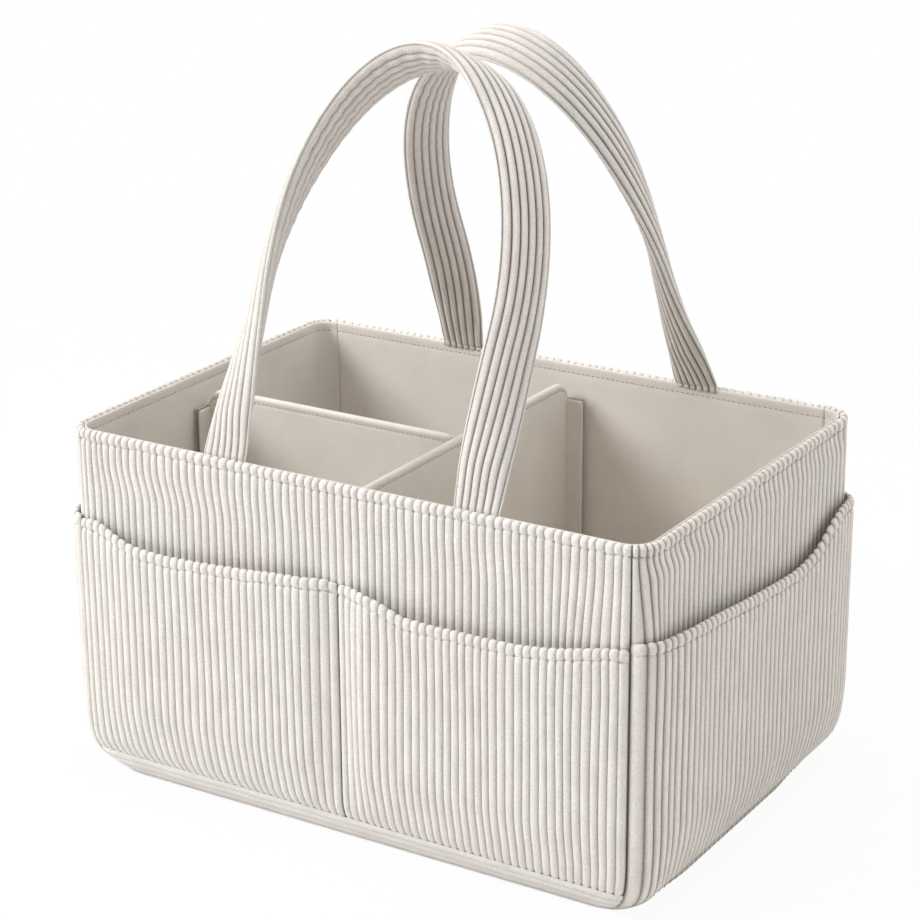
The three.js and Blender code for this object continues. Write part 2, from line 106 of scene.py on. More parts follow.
def wallPoint(side, s, z, inwards):
    # s runs along a wall from its middle, to the right as seen from outside
    place = sides[side]
    s, z, inwards = np.broadcast_arrays(*(np.asarray(a, float) for a in (s, z, inwards)))
    half = (tote["length"] if place % 2 == 0 else tote["depth"]) / 2 - tote["rimRadius"]
    turn = np.sign(s) * np.maximum(0, np.abs(s) - half) / tote["rimRadius"]
    share = np.clip(s / half, -1, 1)
    along, across, facing = (share, -1.0, -math.pi / 2) if place % 2 == 0 else (1.0, share, 0.0)
    if place >= 2:
        along, across, facing = -1 * along, -1 * across, facing + math.pi
    turn = turn + facing
    drawn = inset(z)
    radius = tote["rimRadius"] + (tote["footRadius"] - tote["rimRadius"]) * drawn / tote["tuck"]
    x = along * (tote["length"] / 2 - drawn - radius) + np.cos(turn) * (radius - inwards)
    y = across * (tote["depth"] / 2 - drawn - radius) + np.sin(turn) * (radius - inwards)
    return np.stack([x, y, z], -1)


def facingOf(side, s):
    # The way a wall looks at one place along it
    out = wallPoint(side, s, 100, 0) - wallPoint(side, s, 100, 1)
    return out / np.linalg.norm(out, axis=-1, keepdims=True)


# Meshes

def meshObject(name, points, loops, sizes, uv, floats=()):
    mesh = bpy.data.meshes.new(name)
    mesh.vertices.add(len(points))
    mesh.vertices.foreach_set("co", (np.asarray(points) * metre).ravel())
    mesh.loops.add(len(loops))
    mesh.loops.foreach_set("vertex_index", np.asarray(loops, np.int32))
    mesh.polygons.add(len(sizes))
    starts = np.concatenate([[0], np.cumsum(sizes)[:-1]])
    mesh.polygons.foreach_set("loop_start", starts.astype(np.int32))
    mesh.update(calc_edges=True)
    layer = mesh.uv_layers.new(name="cloth")
    layer.data.foreach_set("uv", np.asarray(uv, np.float32).ravel())
    for key, values in dict(floats).items():
        attribute = mesh.attributes.new(key, "FLOAT", "POINT")
        attribute.data.foreach_set("value", np.asarray(values, np.float32).ravel())
    mesh.shade_smooth()
    thing = bpy.data.objects.new(name, mesh)
    scene.collection.objects.link(thing)
    return thing


def ringSweep(name, rings, u, v, floats=(), period=0):
    # rings[c][r]: closed rings of points, one after another, with both ends closed.
    # u and v are the cloth's own coordinates; period is added where a ring closes.
    rings = np.asarray(rings, float)
    columns, rows = rings.shape[:2]
    c, r = np.meshgrid(np.arange(columns - 1), np.arange(rows), indexing="ij")
    after = (r + 1) % rows
    quads = np.stack([c * rows + r, (c + 1) * rows + r, (c + 1) * rows + after, c * rows + after], -1)
    quads = quads.reshape(-1, 4)
    flat = np.stack([np.broadcast_to(a, (columns, rows)).ravel() for a in (u, v)], -1)
    uv = flat[quads]
    if period:
        closing = (r == rows - 1).reshape(-1)
        uv[closing, 2:, 0] += period
    first, last = np.arange(rows), (columns - 1) * rows + np.arange(rows)[::-1]
    loops = np.concatenate([quads.ravel(), first, last])
    ends = flat[np.concatenate([first, last])]
    p = rings.reshape(-1, 3)
    a, b, d, e = (p[quads[:, k]] for k in range(4))
    volume = (a * (np.cross(b, d) + np.cross(d, e))).sum()
    sizes = [4] * len(quads) + [rows, rows]
    uvLoops = np.concatenate([uv.reshape(-1, 2), ends])
    if volume < 0:
        loops = np.concatenate([quads[:, ::-1].ravel(), first[::-1], last[::-1]])
        uvLoops = np.concatenate([uv[:, ::-1].reshape(-1, 2), ends[:rows][::-1], ends[rows:][::-1]])
    spread = {key: np.broadcast_to(values, (columns, rows)) for key, values in dict(floats).items()}
    return meshObject(name, p, loops, sizes, uvLoops, spread)


def dressed(thing, cloth):
    thing.data.materials.append(clothMaterials[cloth])
    return thing


def settle(thing):
    # Turns what a modifier tree makes into the piece's own plain mesh
    graph = bpy.context.evaluated_depsgraph_get()
    mesh = bpy.data.meshes.new_from_object(
        thing.evaluated_get(graph), preserve_all_data_layers=True, depsgraph=graph)
    thing.modifiers.clear()
    old = thing.data
    thing.data = mesh
    mesh.name = thing.name
    bpy.data.meshes.remove(old)
    return thing


# Node trees

def feed(tree, socket, value):
    # A socket takes an output, a node's first output or a plain value
    if isinstance(value, bpy.types.Node):
        value = value.outputs[0]
    if isinstance(value, bpy.types.NodeSocket):
        tree.links.new(value, socket)
    else:
        socket.default_value = value


def addNode(tree, kind, inputs=(), **settings):
    # inputs: what each socket takes, by its name or place
    node = tree.nodes.new(kind)
    for key, value in settings.items():
        setattr(node, key, value)
    for key, value in dict(inputs).items():
        feed(tree, node.inputs[key], value)
    return node


def mathsOf(tree):
    # Short form of a maths node inside one tree
    return lambda operation, *values: addNode(
        tree, "ShaderNodeMath", enumerate(values), operation=operation)


def newTree(kind, name, inputs, outputs):
    # A socket's kind follows from its first value, or from its title where it has none
    tree = bpy.data.node_groups.new(name, kind + "NodeTree")
    for way, sockets in (("INPUT", inputs), ("OUTPUT", outputs)):
        for title, value in sockets.items():
            number = "Int" if isinstance(value, int) else "Float"
            sort = title if value is None else {(): number, (3,): "Vector", (4,): "Color"}[np.shape(value)]
            socket = tree.interface.new_socket(title, in_out=way, socket_type="NodeSocket" + sort)
            if way == "INPUT" and value is not None:
                socket.default_value = value
    return tree, addNode(tree, "NodeGroupInput").outputs


def named(tree, key, kind="FLOAT"):
    node = addNode(tree, "GeometryNodeInputNamedAttribute", {"Name": key}, data_type=kind)
    return node.outputs["Attribute"]


def finishTree(tree, geometry, material):
    real = addNode(tree, "GeometryNodeRealizeInstances", {0: geometry})
    soft = addNode(tree, "GeometryNodeSetShadeSmooth", {"Geometry": real})
    paint = addNode(tree, "GeometryNodeSetMaterial", {"Geometry": soft, "Material": material})
    addNode(tree, "NodeGroupOutput", {0: paint})
    return tree


def walesTree():
    # Raises rounded ribs: wale counts them across the cloth, relief is how high each stands
    tree, start = newTree("Geometry", "raiseWales", {
        "Geometry": None, "Roundness": 2.4, "Full Height": 0.00135, "Fuzz": 0.00012, "Fuzz Scale": 650.0,
        "Groove Gain": 1.6, "Material": None}, {"Geometry": None})
    calc = mathsOf(tree)
    phase = calc("FRACT", named(tree, "wale"))
    fromMiddle = calc("ABSOLUTE", calc("SUBTRACT", calc("MULTIPLY", phase, 2.0), 1.0))
    fall = calc("POWER", fromMiddle, start["Roundness"])
    relief = named(tree, "relief")
    share = calc("DIVIDE", relief, start["Full Height"])
    share = calc("MINIMUM", calc("MULTIPLY", share, start["Groove Gain"]), 1.0)
    rough = addNode(tree, "ShaderNodeTexNoise", {"Scale": start["Fuzz Scale"], "Detail": 1.0})
    fuzz = calc("MULTIPLY", calc("SUBTRACT", rough, 0.5), 2.0)
    fuzz = calc("MULTIPLY", calc("MULTIPLY", fuzz, start["Fuzz"]), share)
    rise = calc("ADD", calc("MULTIPLY", calc("SUBTRACT", 1.0, fall), relief), fuzz)
    normal = addNode(tree, "GeometryNodeInputNormal")
    lift = addNode(tree, "ShaderNodeVectorMath", {0: normal, "Scale": rise}, operation="SCALE")
    moved = addNode(tree, "GeometryNodeSetPosition", {"Geometry": start["Geometry"], "Offset": lift})
    # Also stores where painted shade goes: full in each groove, none on the crests, less where the pile is
    # low
    stored = addNode(tree, "GeometryNodeStoreNamedAttribute", {
        "Geometry": moved, "Name": "groove", "Value": calc("MULTIPLY", fall, share)},
        data_type="FLOAT", domain="POINT")
    return finishTree(tree, stored, start["Material"])


def stitchTree():
    # Lays one thread stitch after another along lines of points that know which way they face
    tree, start = newTree("Geometry", "runStitches", {
        "Geometry": None, "Spacing": 0.0034, "Stitch Length": 0.0024, "Thread": 0.0006, "Slant": 0.0,
        "Seed": 3, "Material": None}, {"Geometry": None})
    curve = addNode(tree, "GeometryNodeMeshToCurve", {"Mesh": start["Geometry"]})
    even = addNode(tree, "GeometryNodeResampleCurve", {
        "Curve": curve, "Length": start["Spacing"]}, mode="LENGTH")
    upright = addNode(tree, "FunctionNodeAlignRotationToVector", {
        "Vector": named(tree, "facing", "FLOAT_VECTOR")}, axis="Z")
    along = addNode(tree, "FunctionNodeAlignRotationToVector", {
        "Rotation": upright, "Vector": addNode(tree, "GeometryNodeInputTangent")}, axis="X", pivot_axis="Z")
    ball = addNode(tree, "GeometryNodeMeshUVSphere", {"Segments": 6, "Rings": 5, "Radius": 0.5})
    size = addNode(tree, "ShaderNodeCombineXYZ", {
        0: start["Stitch Length"], 1: start["Thread"], 2: start["Thread"]})
    turn = addNode(tree, "ShaderNodeCombineXYZ", {2: start["Slant"]})
    shape = addNode(tree, "GeometryNodeTransform", {"Geometry": ball, "Scale": size, "Rotation": turn})
    vary = addNode(tree, "FunctionNodeRandomValue", {
        2: 0.88, 3: 1.12, "Seed": start["Seed"]}, data_type="FLOAT")
    rows = addNode(tree, "GeometryNodeInstanceOnPoints", {
        "Points": even, "Instance": shape, "Rotation": along, "Scale": vary.outputs[1]})
    return finishTree(tree, rows, start["Material"])


def runTree(thing, tree, values):
    # Inputs are set by the socket's identifier, before the piece is first evaluated
    modifier = thing.modifiers.new(tree.name, "NODES")
    modifier.node_group = tree
    for item in tree.interface.items_tree:
        if item.item_type == "SOCKET" and item.in_out == "INPUT" and item.name in values:
            modifier[item.identifier] = values[item.name]
    return settle(thing)


raiseWales = walesTree()
runStitches = stitchTree()
print("modifier trees built")


# Shader groups

surfaceOutputs = {"Color": None, "Height": 0.0, "Roughness": 0.0}
fullTurn = 6.2832


def mixColour(tree, share, a, b, kind="MIX"):
    node = addNode(tree, "ShaderNodeMix", {0: share, 6: a, 7: b}, data_type="RGBA", blend_type=kind)
    return node.outputs[2]


def noise(tree, vector, scale, detail=2.0, rough=0.5):
    return addNode(tree, "ShaderNodeTexNoise", {
        "Vector": vector, "Scale": scale, "Detail": detail, "Roughness": rough})


def greyOf(tree, value):
    return addNode(tree, "ShaderNodeCombineColor", {0: value, 1: value, 2: value})


def stretched(tree, vector, scale):
    return addNode(tree, "ShaderNodeVectorMath", {0: vector, 1: scale}, operation="MULTIPLY")


def remap(tree, value, low, high, toLow=0.0, toHigh=1.0):
    return addNode(tree, "ShaderNodeMapRange", enumerate((value, low, high, toLow, toHigh)))


def napGroup():
    # Corduroy: painted shade in the grooves and along the seams, a slow drift of tint, weave lines across
    # each wale and short pile
    group, start = newTree("Shader", "cordNap", {
        "Cloth": (0, 0, 0), "Place": (0, 0, 0), "Groove": 0.0, "Fold": 0.0, "Seam": 0.0,
        "Groove Power": 2.0, "Crest": (0.8, 0.77, 0.73, 1), "Shade": (0.4, 0.35, 0.31, 1),
        "Blush": (0.8, 0.74, 0.7, 1), "Edge": (0.8, 0.8, 0.745, 1), "Line Pitch": 1.15}, surfaceOutputs)
    calc = mathsOf(group)
    cloth, place = start["Cloth"], start["Place"]
    along = addNode(group, "ShaderNodeSeparateXYZ", {0: cloth}).outputs[1]
    pile = noise(group, place, 850.0, 3.0, 0.7)
    cross = calc("MULTIPLY", noise(group, stretched(group, cloth, (2.2, 0.35, 1)), 1.0), 7.0)
    turns = calc("DIVIDE", along, start["Line Pitch"])
    lines = calc("SINE", calc("ADD", calc("MULTIPLY", turns, fullTurn), cross))
    lines = calc("MULTIPLY", calc("ADD", lines, 1.0), 0.5)
    tint = remap(group, noise(group, place, 16.0), 0.38, 0.62)
    patch = noise(group, stretched(group, cloth, (0.9, 0.05, 1)), 1.0, 3.0)
    patch = remap(group, patch, 0.3, 0.7, 0.93, 1.04)
    base = mixColour(group, tint, start["Crest"], start["Blush"])
    base = mixColour(group, start["Fold"], base, start["Edge"])
    # Painted shade in the grooves: the groove mask, raised to a power, mixes the colour towards the painted
    # shade colour
    depth = calc("POWER", start["Groove"], start["Groove Power"])
    base = mixColour(group, depth, base, start["Shade"])
    # Painted shade along the seams darkens the pile's tone there
    seam = calc("SUBTRACT", 1.0, calc("MULTIPLY", start["Seam"], 0.8))
    fleckAndSeamShade = calc("MULTIPLY", remap(group, pile, 0.25, 0.75, 0.81, 1.09), seam)
    light = calc("MULTIPLY", calc("MULTIPLY_ADD", lines, 0.05, fleckAndSeamShade), patch)
    addNode(group, "NodeGroupOutput", {
        "Color": mixColour(group, 1.0, base, greyOf(group, light), "MULTIPLY"),
        "Height": calc("ADD", calc("MULTIPLY", lines, 0.45), calc("MULTIPLY", pile, 0.8)),
        "Roughness": remap(group, pile, 0.2, 0.8, 0.82, 0.96)})
    return group


def weaveGroup():
    # Plain weave: threads over and under, slubs, and a slow change of tone
    group, start = newTree("Shader", "plainWeave", {
        "Cloth": (0, 0, 0), "Place": (0, 0, 0), "Threads": 1.6,
        "Light": (0.6, 0.56, 0.52, 1), "Dark": (0.45, 0.42, 0.38, 1)}, surfaceOutputs)
    calc, cloth = mathsOf(group), start["Cloth"]
    waves = []
    for socket in addNode(group, "ShaderNodeSeparateXYZ", {0: cloth}).outputs[:2]:
        turns = calc("MULTIPLY", calc("MULTIPLY", socket, start["Threads"]), fullTurn)
        waves.append(calc("SINE", turns))
    crossing = calc("MULTIPLY", *waves)
    slub = noise(group, stretched(group, cloth, (0.25, 3.0, 1)), 1.0, 3.0)
    slow = remap(group, noise(group, start["Place"], 24.0, 3.0), 0.3, 0.7)
    base = mixColour(group, slow, start["Dark"], start["Light"])
    tone = calc("ADD", remap(group, slub, 0.3, 0.7, 0.93, 1.03), calc("MULTIPLY", crossing, 0.04))
    addNode(group, "NodeGroupOutput", {
        "Color": mixColour(group, 1.0, base, greyOf(group, tone), "MULTIPLY"),
        "Height": calc("ADD", crossing, calc("MULTIPLY", slub, 0.8)),
        "Roughness": remap(group, slub, 0.2, 0.8, 0.75, 0.9)})
    return group


def fibreGroup():
    # Matted fibres, for felt, board and fleecy tape
    group, start = newTree("Shader", "mattedFibre", {
        "Place": (0, 0, 0), "Scale": 500.0,
        "Light": (0.7, 0.68, 0.65, 1), "Dark": (0.5, 0.48, 0.45, 1)}, surfaceOutputs)
    calc = mathsOf(group)
    fine = noise(group, start["Place"], start["Scale"], 4.0, 0.7)
    broad = noise(group, start["Place"], 40.0)
    both = calc("ADD", calc("MULTIPLY", fine, 0.6), calc("MULTIPLY", broad, 0.4))
    both = remap(group, both, 0.35, 0.65)
    addNode(group, "NodeGroupOutput", {
        "Color": mixColour(group, both, start["Dark"], start["Light"]), "Height": fine,
        "Roughness": remap(group, fine, 0.2, 0.8, 0.8, 0.95)})
    return group


cordNap = napGroup()
plainWeave = weaveGroup()
mattedFibre = fibreGroup()


def nodesOf(block):
    # The emptied node tree of a material or a world
    block.use_nodes = True
    block.node_tree.nodes.clear()
    return block.node_tree


def newMaterial(name, group, values, bumpStrength, bumpDistance, sheen=0.0, sheenTint=(1, 1, 1, 1)):
    # values sets the group's inputs; a text value names a mesh attribute
    material = bpy.data.materials.new(name)
    tree = nodesOf(material)
    place = addNode(tree, "ShaderNodeTexCoord").outputs["Object"]
    surface = addNode(tree, "ShaderNodeGroup", {"Place": place}, node_tree=group)
    if "Cloth" in surface.inputs:
        feed(tree, surface.inputs["Cloth"], addNode(tree, "ShaderNodeUVMap", uv_map="cloth"))
    for key, value in values.items():
        if isinstance(value, str):
            value = addNode(tree, "ShaderNodeAttribute", attribute_name=value).outputs["Fac"]
        feed(tree, surface.inputs[key], value)
    bump = addNode(tree, "ShaderNodeBump", {
        "Strength": bumpStrength, "Distance": bumpDistance, "Height": surface.outputs["Height"]})
    shader = addNode(tree, "ShaderNodeBsdfPrincipled", {
        "Base Color": surface.outputs["Color"], "Roughness": surface.outputs["Roughness"], "Normal": bump,
        "Sheen Weight": sheen, "Sheen Roughness": 0.45, "Sheen Tint": sheenTint, "Specular IOR Level": 0.25})
    addNode(tree, "ShaderNodeOutputMaterial", {"Surface": shader})
    return material


pileFeel = (0.6, 0.0004, 0.3, (1.0, 0.97, 0.94, 1))
# Colours of the cream corduroy, and the attributes that place its painted shade in the grooves and along the
# seams
cordColours = {"Crest": (0.82, 0.806, 0.762, 1), "Blush": (0.82, 0.782, 0.748, 1),
               "Edge": (0.81, 0.80, 0.75, 1), "Groove": "groove", "Fold": "fold", "Seam": "seam"}
clothMaterials = {
    "corduroy": newMaterial("creamCorduroy", cordNap, {
        **cordColours, "Shade": (0.54, 0.45, 0.40, 1)}, *pileFeel),
    # Copy of the cream corduroy for the side walls and side pockets: darker, wider painted shade in the
    # grooves stands in for their turning away from the key light
    "side": newMaterial("sideCorduroy", cordNap, {
        **cordColours, "Crest": (0.82, 0.797, 0.745, 1), "Blush": (0.82, 0.77, 0.725, 1),
        "Shade": (0.31, 0.235, 0.195, 1), "Groove Power": 1.0}, *pileFeel),
    # Copy of the cream corduroy for the handles: near-black painted shade in the grooves, and a browner crest
    # that is partly painted shade of the strap's turned-away face
    "strap": newMaterial("strapCorduroy", cordNap, {
        **cordColours, "Crest": (0.81, 0.775, 0.73, 1), "Blush": (0.80, 0.74, 0.70, 1),
        "Shade": (0.06, 0.03, 0.022, 1), "Groove Power": 1.25}, *pileFeel),
    "lining": newMaterial("beigeLining", plainWeave, {
        "Light": (0.82, 0.77, 0.708, 1), "Dark": (0.745, 0.70, 0.642, 1)}, 0.25, 0.0002, 0.15),
    "binding": newMaterial("greyBinding", plainWeave, {
        "Light": (0.72, 0.71, 0.64, 1), "Dark": (0.60, 0.59, 0.52, 1), "Threads": 1.0}, 0.35, 0.0003, 0.1),
    "felt": newMaterial("paleFelt", mattedFibre, {
        "Light": (0.76, 0.74, 0.70, 1), "Dark": (0.62, 0.60, 0.56, 1)}, 0.5, 0.0004),
    "board": newMaterial("greyBoard", mattedFibre, {
        "Light": (0.72, 0.70, 0.66, 1), "Dark": (0.63, 0.61, 0.58, 1), "Scale": 220.0}, 0.15, 0.0002),
    "tape": newMaterial("fleecyTape", mattedFibre, {
        "Light": (0.66, 0.62, 0.57, 1), "Dark": (0.46, 0.42, 0.38, 1), "Scale": 800.0}, 0.8, 0.0005),
    # Thread darker than the cloth; its darkness is partly painted shade of the pinched wales along each row
    # of stitches
    "thread": newMaterial("sewingThread", mattedFibre, {
        "Light": (0.46, 0.43, 0.41, 1), "Dark": (0.34, 0.32, 0.30, 1), "Scale": 1500.0}, 0.4, 0.0002),
    "darkThread": newMaterial("bindingThread", mattedFibre, {
        "Light": (0.38, 0.375, 0.335, 1), "Dark": (0.28, 0.275, 0.245, 1), "Scale": 1500.0}, 0.4, 0.0002),
}
print("materials built")


# Corduroy walls and pockets

# waves: how many wales and how many millimetres up each slow wave takes
cord = {"pile": 1.5, "roundness": 2.9, "widthSpread": 0.08, "drift": 0.4, "driftRise": 40, "tipDrift": 0.4,
        "tipReach": 16, "seamEase": 5, "phases": (0, .05, .12, .24, .4, .6, .76, .88, .95),
        "waves": ((13, 170), (24, 260), (9, 220), (31, 120))}


def waleLayout(half, pitch, seed, firstWidths=()):
    # Wale edges along a path from -half to half, each a little wider or narrower than the next
    count = max(1, round(2 * half / pitch))
    draw = np.random.default_rng(seed)
    widths = pitch * (1 + cord["widthSpread"] * draw.uniform(-1, 1, count))
    for place, width in firstWidths:
        widths[place] = width
    edges = -half + np.concatenate([[0], np.cumsum(widths)]) * (2 * half / widths.sum())
    u = columnsOf(count)
    return u, np.interp(u, np.arange(count + 1), edges), count


def uneven(u, count, seed):
    # A smooth run of random numbers, one for the edge of each wale
    return np.interp(u, np.arange(count + 1), np.random.default_rng(seed).uniform(-1, 1, count + 1))


def fromSeam(u, count):
    return np.minimum(u, count - u)


def wander(u, z, count, seed):
    # Slow sideways drift of the wales, none at either seam
    draw = np.random.default_rng(seed)
    total = np.zeros(np.broadcast(u, z).shape)
    for across, up in cord["waves"]:
        total = total + draw.uniform(0.5, 1) * np.sin(
            2 * math.pi * (u / across + z / up) + draw.uniform(0, 2 * math.pi))
    return total * cord["drift"] / 2 * smooth(fromSeam(u, count) / 3)


def seamDip(u, count):
    # The cloth turns in to the seam at both ends
    return rim["dip"] * (1 - smooth(fromSeam(u, count) / rim["dipReach"]))


# Mask of the painted shade along a seam: 1 at the seam, gone within a tenth of a wale
def seamShadeLine(u, count):
    return np.exp(-(fromSeam(u, count) / 0.1) ** 2)


def columnsOf(count):
    # Places across so many wales, close together in the grooves and on the crests
    return np.concatenate([(np.arange(count)[:, None] + np.array(cord["phases"])).ravel(), [count]])


rim = {"stitchDrop": 6.5, "pinch": 0.55, "held": 0.5, "tipReach": 4.5, "roll": 0.92,
       "squeeze": 2.15, "knobs": 0.32, "knobReach": 4, "tipSpread": 0.9,
       "dip": 0.8, "dipReach": 0.55}
rimStitch = tote["height"] - rim["stitchDrop"]
# Over the rim, from its stitches to the inside: height above them, depth of the ground, share of the pile
rimFold = [(0, 2.05, rim["held"]), (.6, 1.85, .6), (1.3, 1.5, .76), (2.1, 1.2, .88)]
rimRoll = [(3.0, 1.05, rim["roll"]), (3.9, 1.1, rim["roll"]), (4.6, 1.4, rim["roll"]),
           (5.05, 1.9, rim["roll"]), (5.25, 2.5, .9), (5.2, 3.1, .8), (4.9, 3.7, .6), (4.4, 4.2, .35),
           (3.8, 4.5, .1), (3.2, 4.55, 0), (3.1, 2.6, 0)]
# Heights of rows low on the outside and on the back, and steps of the rows below a row of stitches
lowLevels, backLevels = (7, 10, 13, 16, 20, 25, 30, 36, 43, 52, 62), (43, 34, 26, 19, 13, 8, 4)
tipSteps = np.array([1.1, .8, .5, .28, .13, .05])


def pulledIn(drop, held):
    # Share of the pile near a row of stitches; drop goes from 0 at the stitches to 1 where they end
    reach = np.clip(drop, 0, 1)
    return blend(held, 1, np.sqrt(np.maximum(0, 1 - (1 - reach) ** 2)))


def groundOf(share):
    # Depth of the ground under so much of the pile
    return cord["pile"] + rim["pinch"] * (1 - share) / (1 - rim["held"])


def lessHeld(rows, held):
    # Rows of (place, ground, share) drawn for rim["held"], changed for stitches that hold less
    ease, pile = (1 - held) / (1 - rim["held"]), cord["pile"]
    return [(place, blend(pile, g, ease), 1 - (1 - p) * ease) if g > pile and p <= .6
            else (place, g, 1 - (1 - p) * ease if p < .9 and g < 1.6 else p) for place, g, p in rows]


def panelRows(foot, flat, held):
    # Inwards and height of the cloth's ground, and the share of the pile that stands on it.
    # flat is how far up from the foot the cloth is squeezed under what is sewn over it.
    low = [foot, foot + 1.2, foot + 3, foot + 6]
    low += [z for z in lowLevels[:-2] if z > foot + 7]
    upper = rimStitch - np.array([36, 32, 29, 26, 23.5, 21, 18.5, 16, 13.5, 11, 9, 7])
    tips = rimStitch - rim["tipReach"] * tipSteps
    body = np.concatenate([low, np.linspace(58, rimStitch - 42, 11), upper, tips])
    share = pulledIn((rimStitch - body) / rim["tipReach"], held)
    squeezed = 1 - smooth((body - foot - flat / 3) / flat)
    ground = blend(groundOf(share), rim["squeeze"], squeezed)
    rows = list(zip(ground, body, share * (1 - squeezed)))
    rows += [(g, rimStitch + h, p) for h, g, p in (*lessHeld(rimFold, held), *rimRoll)]
    back = [z for z in (150, 70, *backLevels) if z > foot + 2]
    rows += [(tote["cloth"] - 0.02, z, 0) for z in (*back, foot)]
    return np.array(rows).T


def gathered(u, count, seed, z, stitch, outside):
    # A row of stitches gathers every wale a little differently: how thick it is there, and its height
    near = np.exp(-((z - stitch) / rim["knobReach"]) ** 2)
    knob = 1 + rim["knobs"] * uneven(u, count, seed)[:, None] * near
    return knob, z + rim["tipSpread"] * uneven(u, count, seed + 1)[:, None] * near * outside


def corduroyPiece(name, rings, u, z, count, share, knob, fold, cloth, grooveGain=1.6):
    # Columns of cloth with their share of the pile, raised into wales
    thin = smooth(fromSeam(u, count) / 0.8 + 0.5)[:, None]
    piece = ringSweep(name, rings, u[:, None], z, {
        "wale": u[:, None], "relief": cord["pile"] * metre * share * knob * thin, "fold": fold,
        "seam": seamShadeLine(u, count)[:, None]})
    return runTree(piece, raiseWales, {
        "Roundness": cord["roundness"], "Full Height": cord["pile"] * metre, "Groove Gain": grooveGain,
        "Material": clothMaterials[cloth]})


def wallPanel(side, foot, flat, held, pitch, seed, lean, bend, sways=(), firstWidths=()):
    half = halfPath(side)
    u, s, count = waleLayout(half, pitch, seed, firstWidths)
    ground, z, share = panelRows(foot, flat, held)
    u2, z2 = u[:, None], z[None, :]
    inside = smooth(fromSeam(u, count) / cord["seamEase"])[:, None]
    shift = wander(u2, z2, count, seed + 1) * smooth((rimStitch - z2) / cord["driftRise"])
    # Below the rim the wales run off to one side before they hang straight
    fall = smooth((rimStitch - bend[0] - z2) / bend[1])
    shift = shift + (fall - 1) * lean(u / count)[:, None] * inside
    stray = cord["tipDrift"] * uneven(u, count, seed + 2)[:, None]
    shift = shift + stray * (1 - smooth((rimStitch - z2) / cord["tipReach"])) * inside
    for fromEnd, middle, spread, amount, top, length in sways:
        edge = count - u if fromEnd else u
        near = np.exp(-((edge - middle) / spread) ** 2) * smooth(edge)
        shift = shift + amount * near[:, None] * smooth((top - z2) / length)
    outside = (share > 0) & (ground < tote["cloth"])
    knob, height = gathered(u, count, seed + 3, z2, rimStitch + 1, outside)
    depth = np.broadcast_to(ground[None, :], shift.shape)
    dipped = np.minimum(depth + seamDip(u2, count), np.maximum(depth, tote["cloth"] - 0.1))
    depth = np.where(outside[None, :], dipped, depth)
    rings = wallPoint(side, s[:, None] + shift, height, depth)
    fold = (ground > tote["cloth"]) * (1 - share / rim["roll"])
    # The side walls take the copy with deeper painted groove shade
    cloth = "corduroy" if foot else "side"
    return corduroyPiece(side + "Panel", rings, u, z2, count, share[None, :], knob, fold[None, :], cloth)


# lean: how far the tips stand off to the left; bend: where below the rim's stitches they swing back.
# Each sway is one bundle of wales that drifts: from which end, its middle, spread, reach, top and length.
panels = {
    "front": {"foot": 14.3, "flat": 7, "held": 0.5, "pitch": 5.1, "seed": 11, "bend": (9, 22),
              "sways": ((1, 5, 3.5, -3.6, 205, 60),),
              "lean": lambda share: (1 - smooth((share - 0.7) / 0.2)) * (
                  0.9 + 2.4 * np.exp(-((share - 0.14) / 0.13) ** 2) + 0.6 * np.sin(9 * share))},
    "right": {"foot": 0, "flat": 24, "held": 0.8, "pitch": 5.75, "seed": 23, "bend": (1, 14),
              "sways": ((0, 1.5, 2.5, 4.0, 208, 48),),
              "lean": lambda share: 4.6 + 1.2 * np.sin(7 * share), "firstWidths": ((0, 4.2),)},
    "back": {"foot": 14.3, "flat": 7, "held": 0.6, "pitch": 5.1, "seed": 31, "bend": (6, 18),
             "sways": ((0, 4, 3, 3.0, 190, 40),),
             "lean": lambda share: 2.4 + 1.6 * np.sin(8 * share + 1)},
    "left": {"foot": 0, "flat": 24, "held": 0.8, "pitch": 5.75, "seed": 43, "bend": (2, 15),
             "sways": ((1, 1.5, 2.5, -3.0, 200, 45),),
             "lean": lambda share: 3.6 + 1.4 * np.sin(6 * share + 2)},
}
made = {}
for side, values in panels.items():
    made[side + "_panel"] = wallPanel(side, **values)
print("wall panels made")


# Outside pockets, each measured like its solid: how far it stands off and how high its hem is
pocket = {"gape": 6.4, "clear": 0.3, "rise": 44, "seamPinch": 24, "cornerRelief": 45, "cornerShare": 0.22,
          "farShare": 0.35, "stitchDrop": 7.0, "tipReach": 4.0, "endPinch": 4.5, "endShare": 0.72,
          "endDepth": -0.4, "fullFoot": -0.7, "fullReach": 26, "middleGap": 0.2, "driftDrop": 6,
          "driftRise": 22, "foldRoom": 0.8, "knobRise": 1.5}
# At each corner a side pocket has one broad fold, then narrow wales
cornerWidths = [(place if end else -1 - place, width) for end in (1, 0)
                for place, width in enumerate((7.8, 4.4, 4.1, 4.2, 4.7))]
# Two halves fill the front and the back, and a whole one each side. flat: how far up from its foot it lies
# close to the wall. ground, inner, press: depths of its faces at the foot, and how hard the pile is pressed
# there, over a height of ease. held: share of the pile left at the hem's stitches.
pocketKinds = {
    "half": {"foot": 14.3, "flat": 0, "ground": 0.9, "inner": 1.5, "press": 0.5, "ease": 9, "held": 0.5,
             "cloth": "corduroy", "firstWidths": ()},
    # Side pockets take the copy with deeper painted groove shade
    "whole": {"foot": 3.2, "flat": 6, "ground": 1.75, "inner": 2.08, "press": 0.85, "ease": 20, "held": 0.68,
              "cloth": "side", "firstWidths": cornerWidths},
}
